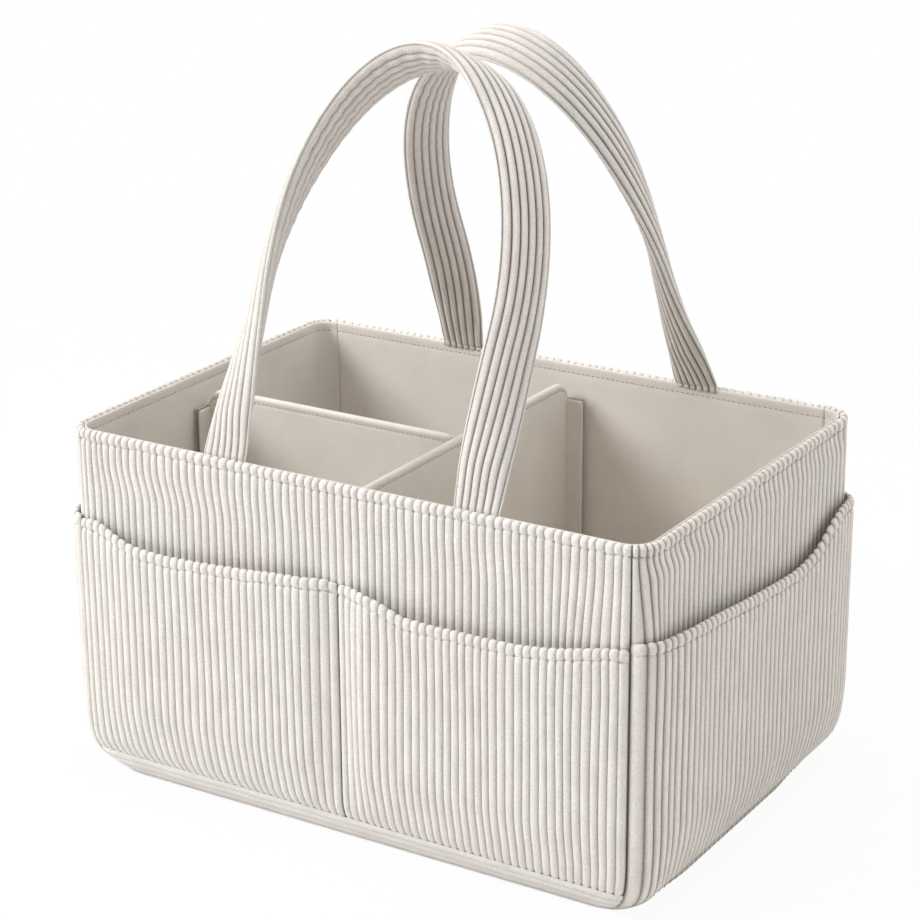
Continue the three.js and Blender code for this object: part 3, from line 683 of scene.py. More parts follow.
# Height of each hem at places along its wall, from the seam that it starts at
hems = {
    "wide": ((-179.8, 163.4), (-174, 165.6), (-167, 166), (-161, 164.4), (-155, 161.6), (-143, 157.8),
             (-130, 155.9), (-110, 155.8), (-92, 156.5), (-54, 159.5), (-41, 160.9), (-23, 162.4),
             (-10, 162.4), (0, 161.4)),
    "deep": ((-179.8, 161.4), (-175, 162.2), (-166, 160.8), (-153, 158.5), (-135, 155.5), (-118, 153.3),
             (-103, 152.6), (-60, 152.4), (-45, 153.1), (-36, 156.3), (-27, 159.6), (-16, 161.3), (0, 161.4)),
    "side": ((-132.4, 165.2), (-120, 165.6), (-104, 164.9), (-87, 163.7), (-57, 160.6), (-25, 156.7),
             (8, 153.4), (30, 151.8), (42, 151.6), (56, 153), (70, 156.5), (83, 164), (94, 168.4),
             (104, 169.6), (118, 169), (132.4, 166.5)),
}
# Fold of a hem: below its top edge, depth of the ground and share of the pile
hemFold = [(7.0, 2.05, rim["held"]), (6.4, 1.85, .6), (5.7, 1.55, .76), (4.9, 1.35, .87), (3.9, 1.3, .92),
           (3.0, 1.4, .92), (2.3, 1.65, .92), (1.75, 2.0, .9), (1.4, 2.4, .82), (1.35, 2.8, .62),
           (1.6, 3.0, .35), (2.1, 3.05, .1), (2.8, 3.05, 0), (5.0, 3.0, 0), (6.6, 3.0, 0), (7.0, 2.4, 0)]


def softLine(knots, spread=4):
    # A line through the knots with its corners rounded off
    places, heights = np.array(knots).T
    fine = np.linspace(places[0], places[-1], 600)
    step = fine[1] - fine[0]
    reach = round(3 * spread / step)
    weights = np.exp(-((np.arange(-reach, reach + 1) * step / spread) ** 2) / 2)
    raw = np.pad(np.interp(fine, places, heights), reach, mode="reflect", reflect_type="odd")
    soft = np.convolve(raw, weights / weights.sum(), "valid")
    return lambda s: np.interp(s, fine, soft)


def pocketRows(foot, hem, held):
    # hem: height of the top edge for each column. Returns z, ground offset and pile share
    low = [foot, foot + .9, foot + 2.2, foot + 4.5]
    low += [z for z in lowLevels if z > foot + 5]
    tips = pocket["stitchDrop"] + pocket["tipReach"] * tipSteps
    columns = []
    for top in hem:
        body = np.linspace(low[-1], top - tips[0] - 4, 12)[1:]
        z = np.concatenate([low, body, top - tips])
        share = pulledIn((top - pocket["stitchDrop"] - z) / pocket["tipReach"], held)
        rows = list(zip(z, groundOf(share), share))
        rows += [(top - d, g, p) for d, g, p in lessHeld(hemFold, held)]
        back = [h for h in (*np.linspace(top - 14, 62, 6), *backLevels) if h > foot + 2]
        rows += [(h, tote["cloth"], 0) for h in (*back, foot)]
        columns.append(rows)
    return np.array(columns).transpose(2, 0, 1)


def standOff(z, kind, across):
    share = smooth((z - kind["foot"] - kind["flat"]) / pocket["rise"])
    return pocket["clear"] + (pocket["gape"] - pocket["clear"]) * share * across


def nearEnds(s, start, end, which, reach):
    # 1 at those ends that count, 0 from reach inwards
    nearest = np.minimum(np.where(which[0], s - start, 99), np.where(which[1], end - s, 99))
    return smooth(1 - nearest / reach)[:, None]


def pocketPiece(name, side, kind, start, end, across, hem, pitch, seed, full):
    # start and end are places along the wall; across and hem are curves of the place;
    # full: which ends stay plump down to the foot
    u, s, count = waleLayout((end - start) / 2, pitch, seed, kind["firstWidths"])
    s = s + (start + end) / 2
    hemAt = hem(s)
    z, ground, share = pocketRows(kind["foot"], hemAt, kind["held"])
    u2 = u[:, None]
    steady = smooth((hemAt[:, None] - pocket["driftDrop"] - z) / pocket["driftRise"])
    shift = wander(u2, z, count, seed + 1) * steady
    off = standOff(z, kind, across(s)[:, None])
    # The folded hem has no room next to the wall where the pocket lies close
    ease = np.clip((off - pocket["clear"]) / pocket["foldRoom"], 0, 1)
    isInner = ground >= tote["cloth"]
    share = np.where(isInner, share * ease, share)
    ground = np.where(isInner, blend(tote["cloth"], ground, ease), ground)
    ground = np.where(isInner, ground, np.minimum(ground + seamDip(u2, count), tote["cloth"] - .1))
    stitch = hemAt[:, None] - pocket["stitchDrop"] + pocket["knobRise"]
    knob, height = gathered(u, count, seed + 3, z, stitch, ~isInner)
    depth = ground - off - tote["cloth"]
    fold = (ground > tote["cloth"]) * np.clip(1 - share / rim["roll"], 0, 1)
    # Sewn flat along its foot, and drawn in at the corner seams
    squeezed = 1 - smooth((z - kind["foot"]) / kind["ease"])
    plump = nearEnds(s, start, end, full, pocket["fullReach"])
    foot = np.where(isInner, kind["inner"], blend(kind["ground"], pocket["fullFoot"], plump))
    depth = blend(depth, foot, squeezed)
    share = share * (1 - kind["press"] * (1 - plump / 2) * squeezed)
    corners = [abs(place) > 1 for place in (start, end)]
    pinched = pocket["endShare"] * nearEnds(s, start, end, corners, pocket["endPinch"]) * (1 - squeezed)
    rings = wallPoint(side, s[:, None] + shift, height, blend(depth, pocket["endDepth"], pinched))
    return corduroyPiece(name, rings, u, z, count, share, knob, fold, kind["cloth"], 3.0)


def fromCorner(distance, least=pocket["cornerShare"]):
    return blend(least, 1, smooth(distance / pocket["cornerRelief"]))


def halfCurves(cut, sign):
    # sign is 1 for the half that starts at the wall's first corner, -1 for the other one
    reach, line = halfPath("front"), softLine(hems[cut])

    def across(s):
        toMiddle = -0.05 - pocket["middleGap"] - sign * s
        return fromCorner(reach + sign * s) * smooth(toMiddle / pocket["seamPinch"])

    return across, lambda s: line(-np.abs(s))


def wholeCurves(cut, sign):
    reach, line = halfPath("right"), softLine(hems[cut])

    def across(s):
        return np.minimum(fromCorner(reach + sign * s), fromCorner(reach - sign * s, pocket["farShare"]))

    return across, lambda s: line(sign * s)


pockets = {
    "front_left_pocket": {"side": "front", "sign": 1, "hem": "wide", "pitch": 5.25, "seed": 51},
    "front_right_pocket": {"side": "front", "sign": -1, "hem": "deep", "pitch": 5.0, "seed": 61},
    "back_right_pocket": {"side": "back", "sign": 1, "hem": "wide", "pitch": 5.15, "seed": 71},
    "back_left_pocket": {"side": "back", "sign": -1, "hem": "deep", "pitch": 5.15, "seed": 81},
    "right_pocket": {"side": "right", "sign": 1, "hem": "side", "pitch": 5.6, "seed": 91,
                     "full": (True, False)},
    "left_pocket": {"side": "left", "sign": -1, "hem": "side", "pitch": 5.6, "seed": 101,
                    "full": (True, True)},
}
for key, values in pockets.items():
    side, sign = values["side"], values["sign"]
    isHalf = side in longSides
    across, hem = (halfCurves if isHalf else wholeCurves)(values["hem"], sign)
    reach, gap = halfPath(side), pocket["middleGap"]
    start, end = (-reach, reach) if not isHalf else (-reach, -gap) if sign > 0 else (gap, reach)
    shape = {"side": side, "kind": pocketKinds["half" if isHalf else "whole"], "start": start, "end": end,
             "across": across, "hem": hem}
    made[key] = pocketPiece(key[0] + key.title().replace("_", "")[1:], **shape, pitch=values["pitch"],
                            seed=values["seed"], full=values.get("full", (False, False)))
    values["shape"] = shape
print("pockets made")


# Base: a plate with ribs along its length, turned up in front and behind as a low band.
# waves: height and length of the ripples in the band's edge
base = {"bandEdges": (0, 2.5, 7.6, 12.6, 17.4), "bandPile": 0.45, "pipePile": 0.95, "bandDepth": -0.95,
        "platePile": 0.8, "plateWales": 50, "seed": 5, "waves": ((0.2, 23), (0.15, 9))}


def baseBand(side):
    # Its cloth lies over the pockets' foot, and its lowest wale is a narrow ridge along the floor
    edges = base["bandEdges"]
    count, top = len(edges) - 1, edges[-1]
    u = columnsOf(count)
    outer = [(base["bandDepth"], h, w) for h, w in zip(np.interp(u, np.arange(count + 1), edges), u)]
    inner = [(depth, h, count) for depth, h in (
        (-.8, top), (-.68, top - .4), (-.5, 14.1), (2.3, 14.0), (2.4, 10), (2.4, 5), (2.4, 0.0))]
    depth, level, wale = np.array(outer + inner).T
    half = halfPath(side)
    s = np.concatenate([np.linspace(-half, -half + 14, 10), np.linspace(-half + 18, half - 18, 70),
                        np.linspace(half - 14, half, 10)])
    edge = np.minimum(level, top - level)
    draw = np.random.default_rng(base["seed"])
    wave = sum(size * np.sin(s / length + draw.uniform(0, 6)) for size, length in base["waves"])
    z = level[None, :] + wave[:, None] * smooth(edge / 4)[None, :]
    rings = wallPoint(side, s[:, None], z, depth[None, :])
    pile = blend(base["pipePile"], base["bandPile"], smooth((level - edges[1]) / 1.5))
    relief = pile * metre * smooth(level / 1.2) * smooth(edge / 1.2 + 0.3)
    relief[len(outer):] = 0
    wale = wale[None, :]
    return ringSweep(side + "Band", rings, wale, s[:, None], {"wale": wale, "relief": relief[None, :]})


def outlineHalf(y, z, inwards):
    # Half the width of the plan outline in x at one y
    radius = tote["footRadius"] - inwards
    drawn = float(inset(z))
    straight = tote["depth"] / 2 - drawn - tote["footRadius"]
    beyond = np.clip(np.abs(y) - straight, 0, radius)
    return tote["length"] / 2 - drawn - tote["footRadius"] + np.sqrt(np.maximum(0, radius ** 2 - beyond ** 2))


def flatPlate(name, foot, thickness, inwards, wales, pile, xSteps=30, wave=None):
    # A plate inside the outline, ribbed on its underside where wales is more than nothing
    half = tote["depth"] / 2 - float(inset(foot)) - inwards - 0.02
    u = columnsOf(wales) if wales else np.linspace(0, 1, 61)
    y = -half + 2 * half * u / u[-1]
    y = half * np.sin(y / half * math.pi / 2) if not wales else y
    share = np.sin(np.linspace(-1, 1, xSteps) * math.pi / 2)
    x = outlineHalf(y, foot, inwards)[:, None] * share[None, :]
    low, high = (np.stack(np.broadcast_arrays(x, y[:, None], level), -1)
                 for level in (foot + pile, foot + thickness - (wave(x, y[:, None]) if wave else 0)))
    rings = np.concatenate([low, high[:, ::-1]], 1)
    relief = np.repeat([pile * metre, 0], xSteps)[None, :]
    return ringSweep(name, rings, u[:, None], np.concatenate([x, x[:, ::-1]], 1), {
        "wale": u[:, None], "relief": relief})


def joined(name, pieces):
    # One piece out of several closed meshes
    first = pieces[0]
    with bpy.context.temp_override(active_object=first, selected_editable_objects=pieces, object=first):
        bpy.ops.object.join()
    first.name = first.data.name = name
    return first


basePlate = flatPlate("basePlate", 0.02, 2.4, 1.2, base["plateWales"], base["platePile"], 26)
basePiece = joined("basePanel", [basePlate, baseBand("front"), baseBand("back")])
made["base_panel"] = runTree(basePiece, raiseWales, {
    "Roundness": 2.2, "Full Height": 0.001, "Material": clothMaterials["corduroy"]})
print("base made")


# Bound edge along the foot of each side wall: depth behind the wall's widest line, and height.
# It runs out near the corners, where plain corduroy goes on round them.
binding = {"rows": ((11.0, .1), (10.7, .5), (10.55, 1.4), (10.4, 2.4), (10.2, 3.4), (10.0, 4.2),
                    (10.0, 4.7), (10.25, 4.9), (10.65, 4.5), (11.3, 3.7), (11.62, 3.2), (11.75, 2.4),
                    (11.9, 1.3), (12.4, 1.0), (13.6, .9), (13.6, .12)),
           "ripple": 0.1, "corner": 24, "ease": 42, "drawBack": 2.4, "lower": 0.35,
           "thread": (10.36, 2.4), "panelFoot": 14.9, "panelSlope": 0.62}


def drawnBack(side, s, depth, z):
    # Depth and height of the bound edge, which is lower and further back before the corners
    toCorner = halfPath(side) - binding["corner"] - np.abs(s)
    near = smooth(1 - toCorner / binding["ease"])
    back = binding["drawBack"] * near * (1 - smooth(-toCorner / binding["corner"]))
    return depth + back, z * (1 - binding["lower"] * near)


def boundEdge(name, side, start, end, cloth):
    s = np.linspace(start, end, max(14, round((end - start) / 1.5)))[:, None]
    depth, z = np.array(binding["rows"]).T
    ripple = binding["ripple"] * np.sin(s / 0.9 + 0.7 * np.sin(s / 7)) * (depth < 10.6)[None, :]
    back, z = drawnBack(side, s, depth, z)
    # It lies against the panel's foot, which slopes
    depth = np.minimum(back, np.maximum(depth, binding["panelFoot"] - binding["panelSlope"] * z))
    rings = wallPoint(side, s, z, depth - inset(z) - ripple)
    return dressed(ringSweep(name, rings, np.arange(1, z.shape[1] + 1)[None, :] * 0.8, s), cloth)


bindings, footEnds = {}, {}
for side in ("right", "left"):
    outer, inner = halfPath(side) - 0.4, halfPath(side) - binding["corner"]
    bindings[side] = boundEdge(side + "Binding", side, -inner, inner, "binding")
    footEnds[side] = [boundEdge(side + "FootStart", side, -outer, -inner - 0.1, "corduroy"),
                      boundEdge(side + "FootEnd", side, inner + 0.1, outer, "corduroy")]


# Linings: smooth cloth, a little loose, caught by the rim's stitching.
# waves: lengths of its slow waves along the wall and up it
lining = {"back": 5.2, "face": 6.2, "foot": 6.8, "top": 217, "loose": 0.55, "topEase": 12, "footEase": 20,
          "caught": 0.35, "caughtReach": 1.3, "waves": ((38, 90), (21, -60), (60, 30), (13, 140))}


def wallLining(side, seed):
    isLong = side in longSides
    half = (tote["length"] if isLong else tote["depth"]) / 2 - tote["rimRadius"]
    half = half - 0.2 if isLong else half + tote["rimRadius"] * math.pi / 2
    s = np.linspace(-half, half, 150 if isLong else 130)
    up = np.concatenate([[lining["foot"], 9, 13, 18, 24, 31, 39], np.linspace(50, rimStitch - 6, 30),
                         rimStitch + np.array([-3, -1.2, 0, 1.2, 3]), [215, 216.4, lining["top"]]])
    draw = np.random.default_rng(seed)
    s2, z2 = s[:, None], up[None, :]
    waves = sum(draw.uniform(.5, 1) * np.sin(s2 / a + z2 / b + draw.uniform(0, 6))
                for a, b in lining["waves"])
    eased = smooth((rimStitch - z2) / lining["topEase"])
    loose = lining["loose"] * (0.5 + waves / 6) * eased * smooth((z2 - 8) / lining["footEase"])
    caught = lining["caught"] * np.exp(-((z2 - rimStitch) / lining["caughtReach"]) ** 2)
    face = lining["face"] - loose - caught - lining["caught"] * (z2 > 216.5)
    back = np.full(face.shape, lining["back"])
    rings = np.concatenate([wallPoint(side, s2, z2, back), wallPoint(side, s2, z2, face)[:, ::-1]], 1)
    heights = np.concatenate([up, up[::-1]])
    return dressed(ringSweep(side + "Lining", rings, s2, heights[None, :]), "lining")


for place, side in enumerate(sides):
    made[side + "_lining"] = wallLining(side, 200 + place)


def floorWave(x, y):
    return 0.18 + 0.1 * np.sin(x / 31 + y / 50) + 0.08 * np.sin(y / 19 - x / 70)


made["base_lining"] = dressed(
    flatPlate("baseLining", 5.5, 1.0, lining["back"], 0, 0, 70, floorWave), "lining")
print("linings made")


# Dividers: a sewn sleeve over a board, open along its foot, with a flange across each end.
# seamReach and seamThin: how far from its end seams the sleeve thins, and to what share
divider = {"foot": 7.0, "top": 208, "cloth": 0.9, "web": 4.9, "crossPlace": -4, "flangeWidth": 26,
           "flange": 1.5, "flangeFoot": 50, "flangeHeight": 146, "middle": 5.15, "endGap": 10.4,
           "footGap": 6.9, "stitchDrop": 4.2, "seamReach": 1.6, "seamThin": 0.26, "puff": 0.22, "caught": 0.3}
halfDepth, halfLength = tote["depth"] / 2, tote["length"] / 2


def endReach(z):
    return np.maximum(divider["endGap"], inset(z) + divider["footGap"])


# Where each end is at a height, the radii of the top corners, and where the divider stands
dividers = {
    "centre": {"left": lambda z: endReach(z) - halfDepth, "right": lambda z: halfDepth - endReach(z),
               "radii": (12, 12), "place": Matrix.Rotation(math.pi / 2, 4, "Z"), "seed": 301},
    "cross": {"left": lambda z: endReach(z) - halfLength,
              "right": lambda z: np.full(np.shape(z), -divider["middle"]),
              "radii": (12, 3), "place": Matrix.Translation((0, divider["crossPlace"] * metre, 0)),
              "seed": 302},
}


def spanOf(shape):
    # Both ends of a divider's top
    return [float(shape[end](divider["top"])) for end in ("left", "right")]


def crownOf(shape, a):
    # Height of a divider's top at distances from its left end, and the distance to the nearer end
    left, right = spanOf(shape)
    nearest = np.minimum(a, right - left - a)
    radius = np.where(a < (right - left) / 2, *shape["radii"])
    drop = radius - np.sqrt(np.maximum(0, radius ** 2 - np.maximum(0, radius - nearest) ** 2))
    return divider["top"] - drop, nearest


def dividerSleeve(name, shape):
    foot, halfWeb, cloth = divider["foot"], divider["web"] / 2, divider["cloth"]
    left, right = spanOf(shape)
    width = right - left
    ends = np.array([0, .35, .8, 1.4, 2.2, 3.4, 5, 7, 9.5, 12.5, 16])
    a = np.concatenate([ends, np.linspace(20, width - 20, 46), width - ends[::-1]])
    crown, nearest = crownOf(shape, a)
    # Both faces pinch together at the end seams
    pinch = np.clip(nearest / divider["seamReach"], 0, 1)
    thin = blend(divider["seamThin"], 1, np.sqrt(pinch * (2 - pinch)))
    phase = np.random.default_rng(shape["seed"]).uniform(0, 6)
    bow = np.radians([15, 35, 55, 75, 90, 105, 125, 145, 165])
    rings, heights = [], []
    for at, high, slim in zip(a, crown, thin):
        outer, inner = halfWeb * slim, max(0.05, (halfWeb - cloth) * slim)
        up = np.concatenate([[foot, 12, 18, 25, 33, 42], np.linspace(60, high - 9, 14),
                             high - np.array([6, 5, 4.4, 4, 3.6, 3])])
        puff = divider["puff"] * np.sin(at / 27 + up / 48 + phase) * smooth((high - up) / 20)
        fromStitch = (up - (high - divider["stitchDrop"])) / 0.7
        caught = divider["caught"] * np.exp(-fromStitch ** 2) * min(1, slim)
        across = np.concatenate([
            outer + puff - caught - .2, outer * np.cos(bow), -(outer - puff - caught - .2)[::-1],
            [-inner, -inner, -inner, 0, inner, inner, inner]])
        z = np.concatenate([
            up, high - outer + outer * np.sin(bow), up[::-1],
            [foot, 60, high - cloth - inner, high - cloth, high - cloth - inner, 60, foot]])
        along = shape["left"](z) + (shape["right"](z) - shape["left"](z)) * at / width
        rings.append(np.stack([along, across, z], -1))
        heights.append(z)
    sleeve = ringSweep(name, rings, a[:, None], np.array(heights))
    piece = joined(name, [sleeve, flangeTab(name + "Tab", left, -1), flangeTab(name + "Tab", right, 1)])
    piece.data.transform(shape["place"])
    return dressed(piece, "lining")


def flangeTab(name, face, sign):
    # A flat tab across a divider's end, its edges bound and rounded
    thick = divider["flange"]
    rows = np.array([1, .985, .95, .9, .5, 0, -.5, -.9, -.95, -.985, -1]) * divider["flangeWidth"] / 2
    swell = np.array([.3, .8, 1, .82, .8, .8, .8, .82, 1, .8, .3]) * thick / 2
    near, high = np.array([0, .3, 1, 2.2, 4]), divider["flangeHeight"]
    z = np.concatenate([near, np.linspace(8, high - 8, 24), high - near[::-1]])[:, None]
    edge = np.minimum(z, high - z)
    slim = 0.3 + 0.7 * np.minimum(1, edge / 0.8)
    narrow = 1 - 0.05 * (1 - np.minimum(1, edge / 2))
    x = face - sign * thick / 2 + np.concatenate([swell, -swell[::-1]]) * slim
    y = np.concatenate([rows, rows[::-1]]) * narrow
    z = z + divider["flangeFoot"]
    rings = np.stack(np.broadcast_arrays(x, y, z), -1)
    return ringSweep(name, rings, np.arange(2 * len(rows))[None, :] * 2.0, z)


for key, shape in dividers.items():
    made[key + "_divider_cover"] = dividerSleeve(key + "Divider", shape)
print("dividers made")


# Handles: a padded corduroy strap, six wales on each face and a narrow ridge along its edges
strap = {"width": 29, "thickness": 7, "faceHalf": 13.3, "ground": 4.4, "edgeGround": 0.8, "edgeReach": 0.6,
         "pile": 1.2, "edgePile": 0.6, "footSpacing": 164, "archHeight": 237, "legHeight": 92,
         "legShare": 0.34, "setBack": 1.1, "crownGap": 21, "footClear": 0.5, "wales": 6, "steps": 290,
         "footThickness": 1.9, "footEase": 30, "buckle": 0.34, "buckleFrom": 80, "buckleEase": 120,
         "footShift": 1.6, "shiftEase": 26, "edgePhases": (0, .06, .14, .26, .4, .6, .74, .86, .94),
         "sewnDepth": 6.0, "sunk": ((3.2, .5), (1.6, .75))}
# How far the strap's outer face has turned from facing out to facing away from the arch: place along
# the strap in hundredths from its right foot, and degrees. It turns fastest just before the top.
strapTurns = ((0, 0), (2, 3), (5.4, 15), (10.8, 34), (20.7, 50), (32.4, 50), (41.4, 58), (46.4, 84),
              (50, 103), (54, 112), (58.6, 104), (70.3, 82), (79.3, 58), (89.2, 34), (94.6, 15), (98, 3),
              (100, 0))
# pressed: how much of the painted groove shade the strap keeps, at places in hundredths along the strap from
# its right foot; it is strongest where the strap faces away from the light
handles = {
    "front": {"halfWidth": 81.5, "shift": 3, "turn": 0, "seed": 401,
              "pressed": ((0, 0.8), (16, 0.85), (25, 1), (36, 1), (44, 0.8), (51, 0.5), (62, 0.55),
                          (76, 0.5), (88, 0.55), (100, 0.7))},
    "back": {"halfWidth": 75, "shift": 6, "turn": math.pi, "seed": 402,
             "pressed": ((0, 0.9), (20, 0.8), (38, 0.6), (48, 0.35), (54, 0.35), (60, 0.85), (68, 1),
                         (100, 1))},
}
footInwards = strap["setBack"] + strap["thickness"] / 2
crownHeight = strap["archHeight"] + strap["thickness"] / 2
crownInwards = halfDepth - footInwards - strap["crownGap"] / 2
handleLean = (math.asin(crownInwards / math.hypot(crownHeight, strap["width"] / 2))
              - math.atan2(strap["width"] / 2, crownHeight))


def strapLine(t, halfWidth):
    # The strap's middle line upright in XZ, from its right foot over the top to its left
    place = 1 - 2 * t
    side = np.where(place < 0, -1, 1)
    fromTop = np.abs(place)
    legStart = 1 - strap["legShare"]
    up = (1 - fromTop) / strap["legShare"]
    halfFeet = strap["footSpacing"] / 2
    legX = blend(halfFeet, halfWidth, np.sin(up * math.pi / 2))
    angle = fromTop / legStart * math.pi / 2
    isLeg = fromTop > legStart
    x = side * np.where(isLeg, legX, halfWidth * np.sin(angle))
    z = np.where(isLeg, up * strap["legHeight"],
                 blend(strap["legHeight"], strap["archHeight"], np.cos(angle)))
    return np.stack([x, np.zeros_like(x), z], -1)


def strapOutline():
    # Points round the section: across, through, wale count, share of the pile, and 1 on the edges
    count, face, low = strap["wales"], strap["faceHalf"], strap["edgeGround"]
    points = []
    for wale in columnsOf(count)[:-1]:
        place = 2 * wale / count - 1
        points.append((face * place, blend(low, strap["ground"], 1 - abs(place) ** 2.6), wale, 1, 0))
    for part in strap["edgePhases"]:
        turn = math.pi / 2 - math.pi * part
        points.append((face + strap["edgeReach"] * math.cos(turn), low * math.sin(turn), count + part,
                       strap["edgePile"] / strap["pile"], 1))
    back = [(-x, -y, w + count + 1, share, edge) for x, y, w, share, edge in points]
    return np.array(points + back).T


def strapPiece(side, halfWidth, shift, turn, seed, pressed):
    line = strapLine(np.linspace(0, 1, 6001), halfWidth)
    lengths = np.concatenate([[0], np.cumsum(np.linalg.norm(np.diff(line, axis=0), axis=1))])
    total = lengths[-1]

    def lineAt(s):
        return np.stack([np.interp(s, lengths, line[:, k]) for k in range(3)], -1)

    near = np.array([0, .8, 1.8, 3, 4.6, 6.6, 9, 12, 15.5])
    s = np.concatenate([near, np.linspace(20, total - 20, strap["steps"]), total - near[::-1]])
    tangent = lineAt(s + .4) - lineAt(s - .4)
    tangent /= np.linalg.norm(tangent, axis=1, keepdims=True)
    outwards = np.stack([tangent[:, 2], np.zeros(len(s)), -tangent[:, 0]], -1)
    fromFoot = np.minimum(s, total - s)
    twist = np.radians(softLine(strapTurns, 2)(s / total * 100))[:, None]
    face = np.array([0, -1, 0]) * np.cos(twist) + outwards * np.sin(twist)
    across, through, wale, share, edge = strapOutline()
    draw = np.random.default_rng(seed)
    # The wales stray a little along the strap, and it thins to a sewn end at each foot
    stray = sum(draw.uniform(.1, .2) * np.sin(s / a + draw.uniform(0, 6)) for a in (31, 53, 19))
    inFace = smooth((strap["faceHalf"] - np.abs(across)) / 4)
    flat = blend(strap["footThickness"] / strap["thickness"], 1, smooth(fromFoot / strap["footEase"]))
    x = across[None, :] + stray[:, None] * inFace[None, :]
    y = through[None, :] * flat[:, None]
    # Bent inwards, the face on the inside of the arch buckles
    waves = np.sin(s[:, None] / 1.55 + 1.3 * np.sin(s[:, None] / 13) + across[None, :] / 4)
    waves *= strap["buckle"] * smooth((fromFoot - strap["buckleFrom"]) / strap["buckleEase"])[:, None]
    y += waves * (inFace * (through < 0))[None, :]
    width = np.cross(face, tangent)
    rings = lineAt(s)[:, None] + width[:, None] * x[..., None] + face[:, None] * y[..., None]
    # Sewn in behind the rim's roll: the last stretch bends upright and goes down into it
    level = tote["height"] + strap["footClear"]
    c, k = math.cos(handleLean), math.sin(handleLean)
    placed = rings @ np.array([[1, 0, 0], [0, c, -k], [0, k, c]]) + (0, footInwards - halfDepth, level)
    placed[..., 1] += strap["footShift"] * (1 - smooth(fromFoot / strap["shiftEase"]))[:, None]
    placed[[0, -1], :, 2] = level
    feet = []
    for ring in (placed[0], placed[-1]):
        x, y, z = ring.T
        feet.append([np.stack([x, strap["sewnDepth"] - halfDepth + (y - y.mean()) * slim, z - drop], -1)
                     for drop, slim in strap["sunk"]])
    placed = np.concatenate([feet[0], placed, feet[1][::-1]])
    drops = np.array([drop for drop, slim in strap["sunk"]])
    v = np.concatenate([-drops, s, total + drops[::-1]])
    c, k = math.cos(turn), math.sin(turn)
    placed = placed @ np.array([[c, k, 0], [-k, c, 0], [0, 0, 1]]) + (shift, 0, 0)
    fade = smooth(np.pad(fromFoot, 2) / 10 + 0.6)
    relief = strap["pile"] * metre * fade[:, None] * share[None, :]
    wale = wale[None, :]
    piece = ringSweep(side + "Handle", placed, wale, v[:, None], {
        "wale": wale, "relief": relief, "fold": edge[None, :],
        "open": softLine(pressed, 2)(v / total * 100)[:, None]}, period=2 * (strap["wales"] + 1))
    piece = runTree(piece, raiseWales, {
        "Roundness": 2.8, "Full Height": strap["pile"] * metre, "Material": clothMaterials["strap"]})
    # Painted groove shade kept along the strap: full where it faces away from the light, less where it is lit
    groove, shadeKept = (piece.data.attributes[key].data for key in ("groove", "open"))
    for spot, share in zip(groove, shadeKept):
        spot.value *= share.value
    return piece


for side, values in handles.items():
    made[side + "_handle"] = strapPiece(side, **values)
print("handles made")


# Stitching

stitching = {"Spacing": 0.0034, "Stitch Length": 0.0026, "Thread": 0.00062}
fineStitching = {"Spacing": 0.003, "Stitch Length": 0.0022, "Thread": 0.0005}
overcasting = {"Spacing": 0.0056, "Stitch Length": 0.0036, "Thread": 0.0006, "Slant": 0.95}


def threadDepth(held):
    # Where the thread lies on the pinched wales, below the top of the pile
    return groundOf(held) - cord["pile"] * held + 0.02


def stitchLines(name, lines, values, seed, thread="thread"):
    # lines: pairs of points and the ways they face, in millimetres
    points, facing = (np.concatenate(part) for part in zip(*lines))
    breaks = set(np.cumsum([len(line) for line, _ in lines]))
    edges = [(k - 1, k) for k in range(1, len(points)) if k not in breaks]
    mesh = bpy.data.meshes.new(name)
    mesh.from_pydata((points * metre).tolist(), edges, [])
    attribute = mesh.attributes.new("facing", "FLOAT_VECTOR", "POINT")
    attribute.data.foreach_set("vector", facing.astype(np.float32).ravel())
    piece = bpy.data.objects.new(name, mesh)
    scene.collection.objects.link(piece)
    return runTree(piece, runStitches, {**values, "Seed": seed, "Material": clothMaterials[thread]})


def wallLine(side, s, z, depth, way=1):
    # Points along a wall, and the way that each looks
    return wallPoint(side, s, z, depth), way * facingOf(side, s)


def rimLines():
    lines = []
    for side in sides:
        half = halfPath(side) - 1.5
        s = np.linspace(-half, half, 260)
        lines.append(wallLine(side, s, rimStitch, threadDepth(panels[side]["held"])))
        half = tote["length"] / 2 - tote["rimRadius"] - 1 if side in longSides else half
        s = np.linspace(-half, half, 200)
        lines.append(wallLine(side, s, rimStitch, lining["face"] - 0.2, -1))
    return lines


def hemLines():
    lines = []
    for values in pockets.values():
        side, kind, start, end, across, hem = values["shape"].values()
        s = np.linspace(start + 4, end - 4, 200)
        z = hem(s) - pocket["stitchDrop"]
        depth = threadDepth(kind["held"]) - standOff(z, kind, across(s)) - tote["cloth"]
        lines.append(wallLine(side, s, z, depth))
    return lines


def bindingLines():
    lines = []
    for side in bindings:
        half = halfPath(side) - binding["corner"]
        s = np.linspace(1 - half, half - 1, 200)
        depth, z = drawnBack(side, s, *binding["thread"])
        lines.append(wallLine(side, s, z, depth - inset(z)))
    return lines


def dividerLines(shape):
    lines = []
    left, right = spanOf(shape)
    a = np.linspace(5, right - left - 5, 160)
    z = crownOf(shape, a)[0] - divider["stitchDrop"]
    turned, moved = np.array(shape["place"].to_3x3()).T, np.array(shape["place"].translation) / metre
    for sign in (-1, 1):
        line = np.stack([left + a, np.full(len(a), sign * (divider["web"] / 2 - 0.35)), z], -1)
        lines.append((line @ turned + moved, np.tile([0, sign, 0], (len(a), 1)) @ turned))
    return lines


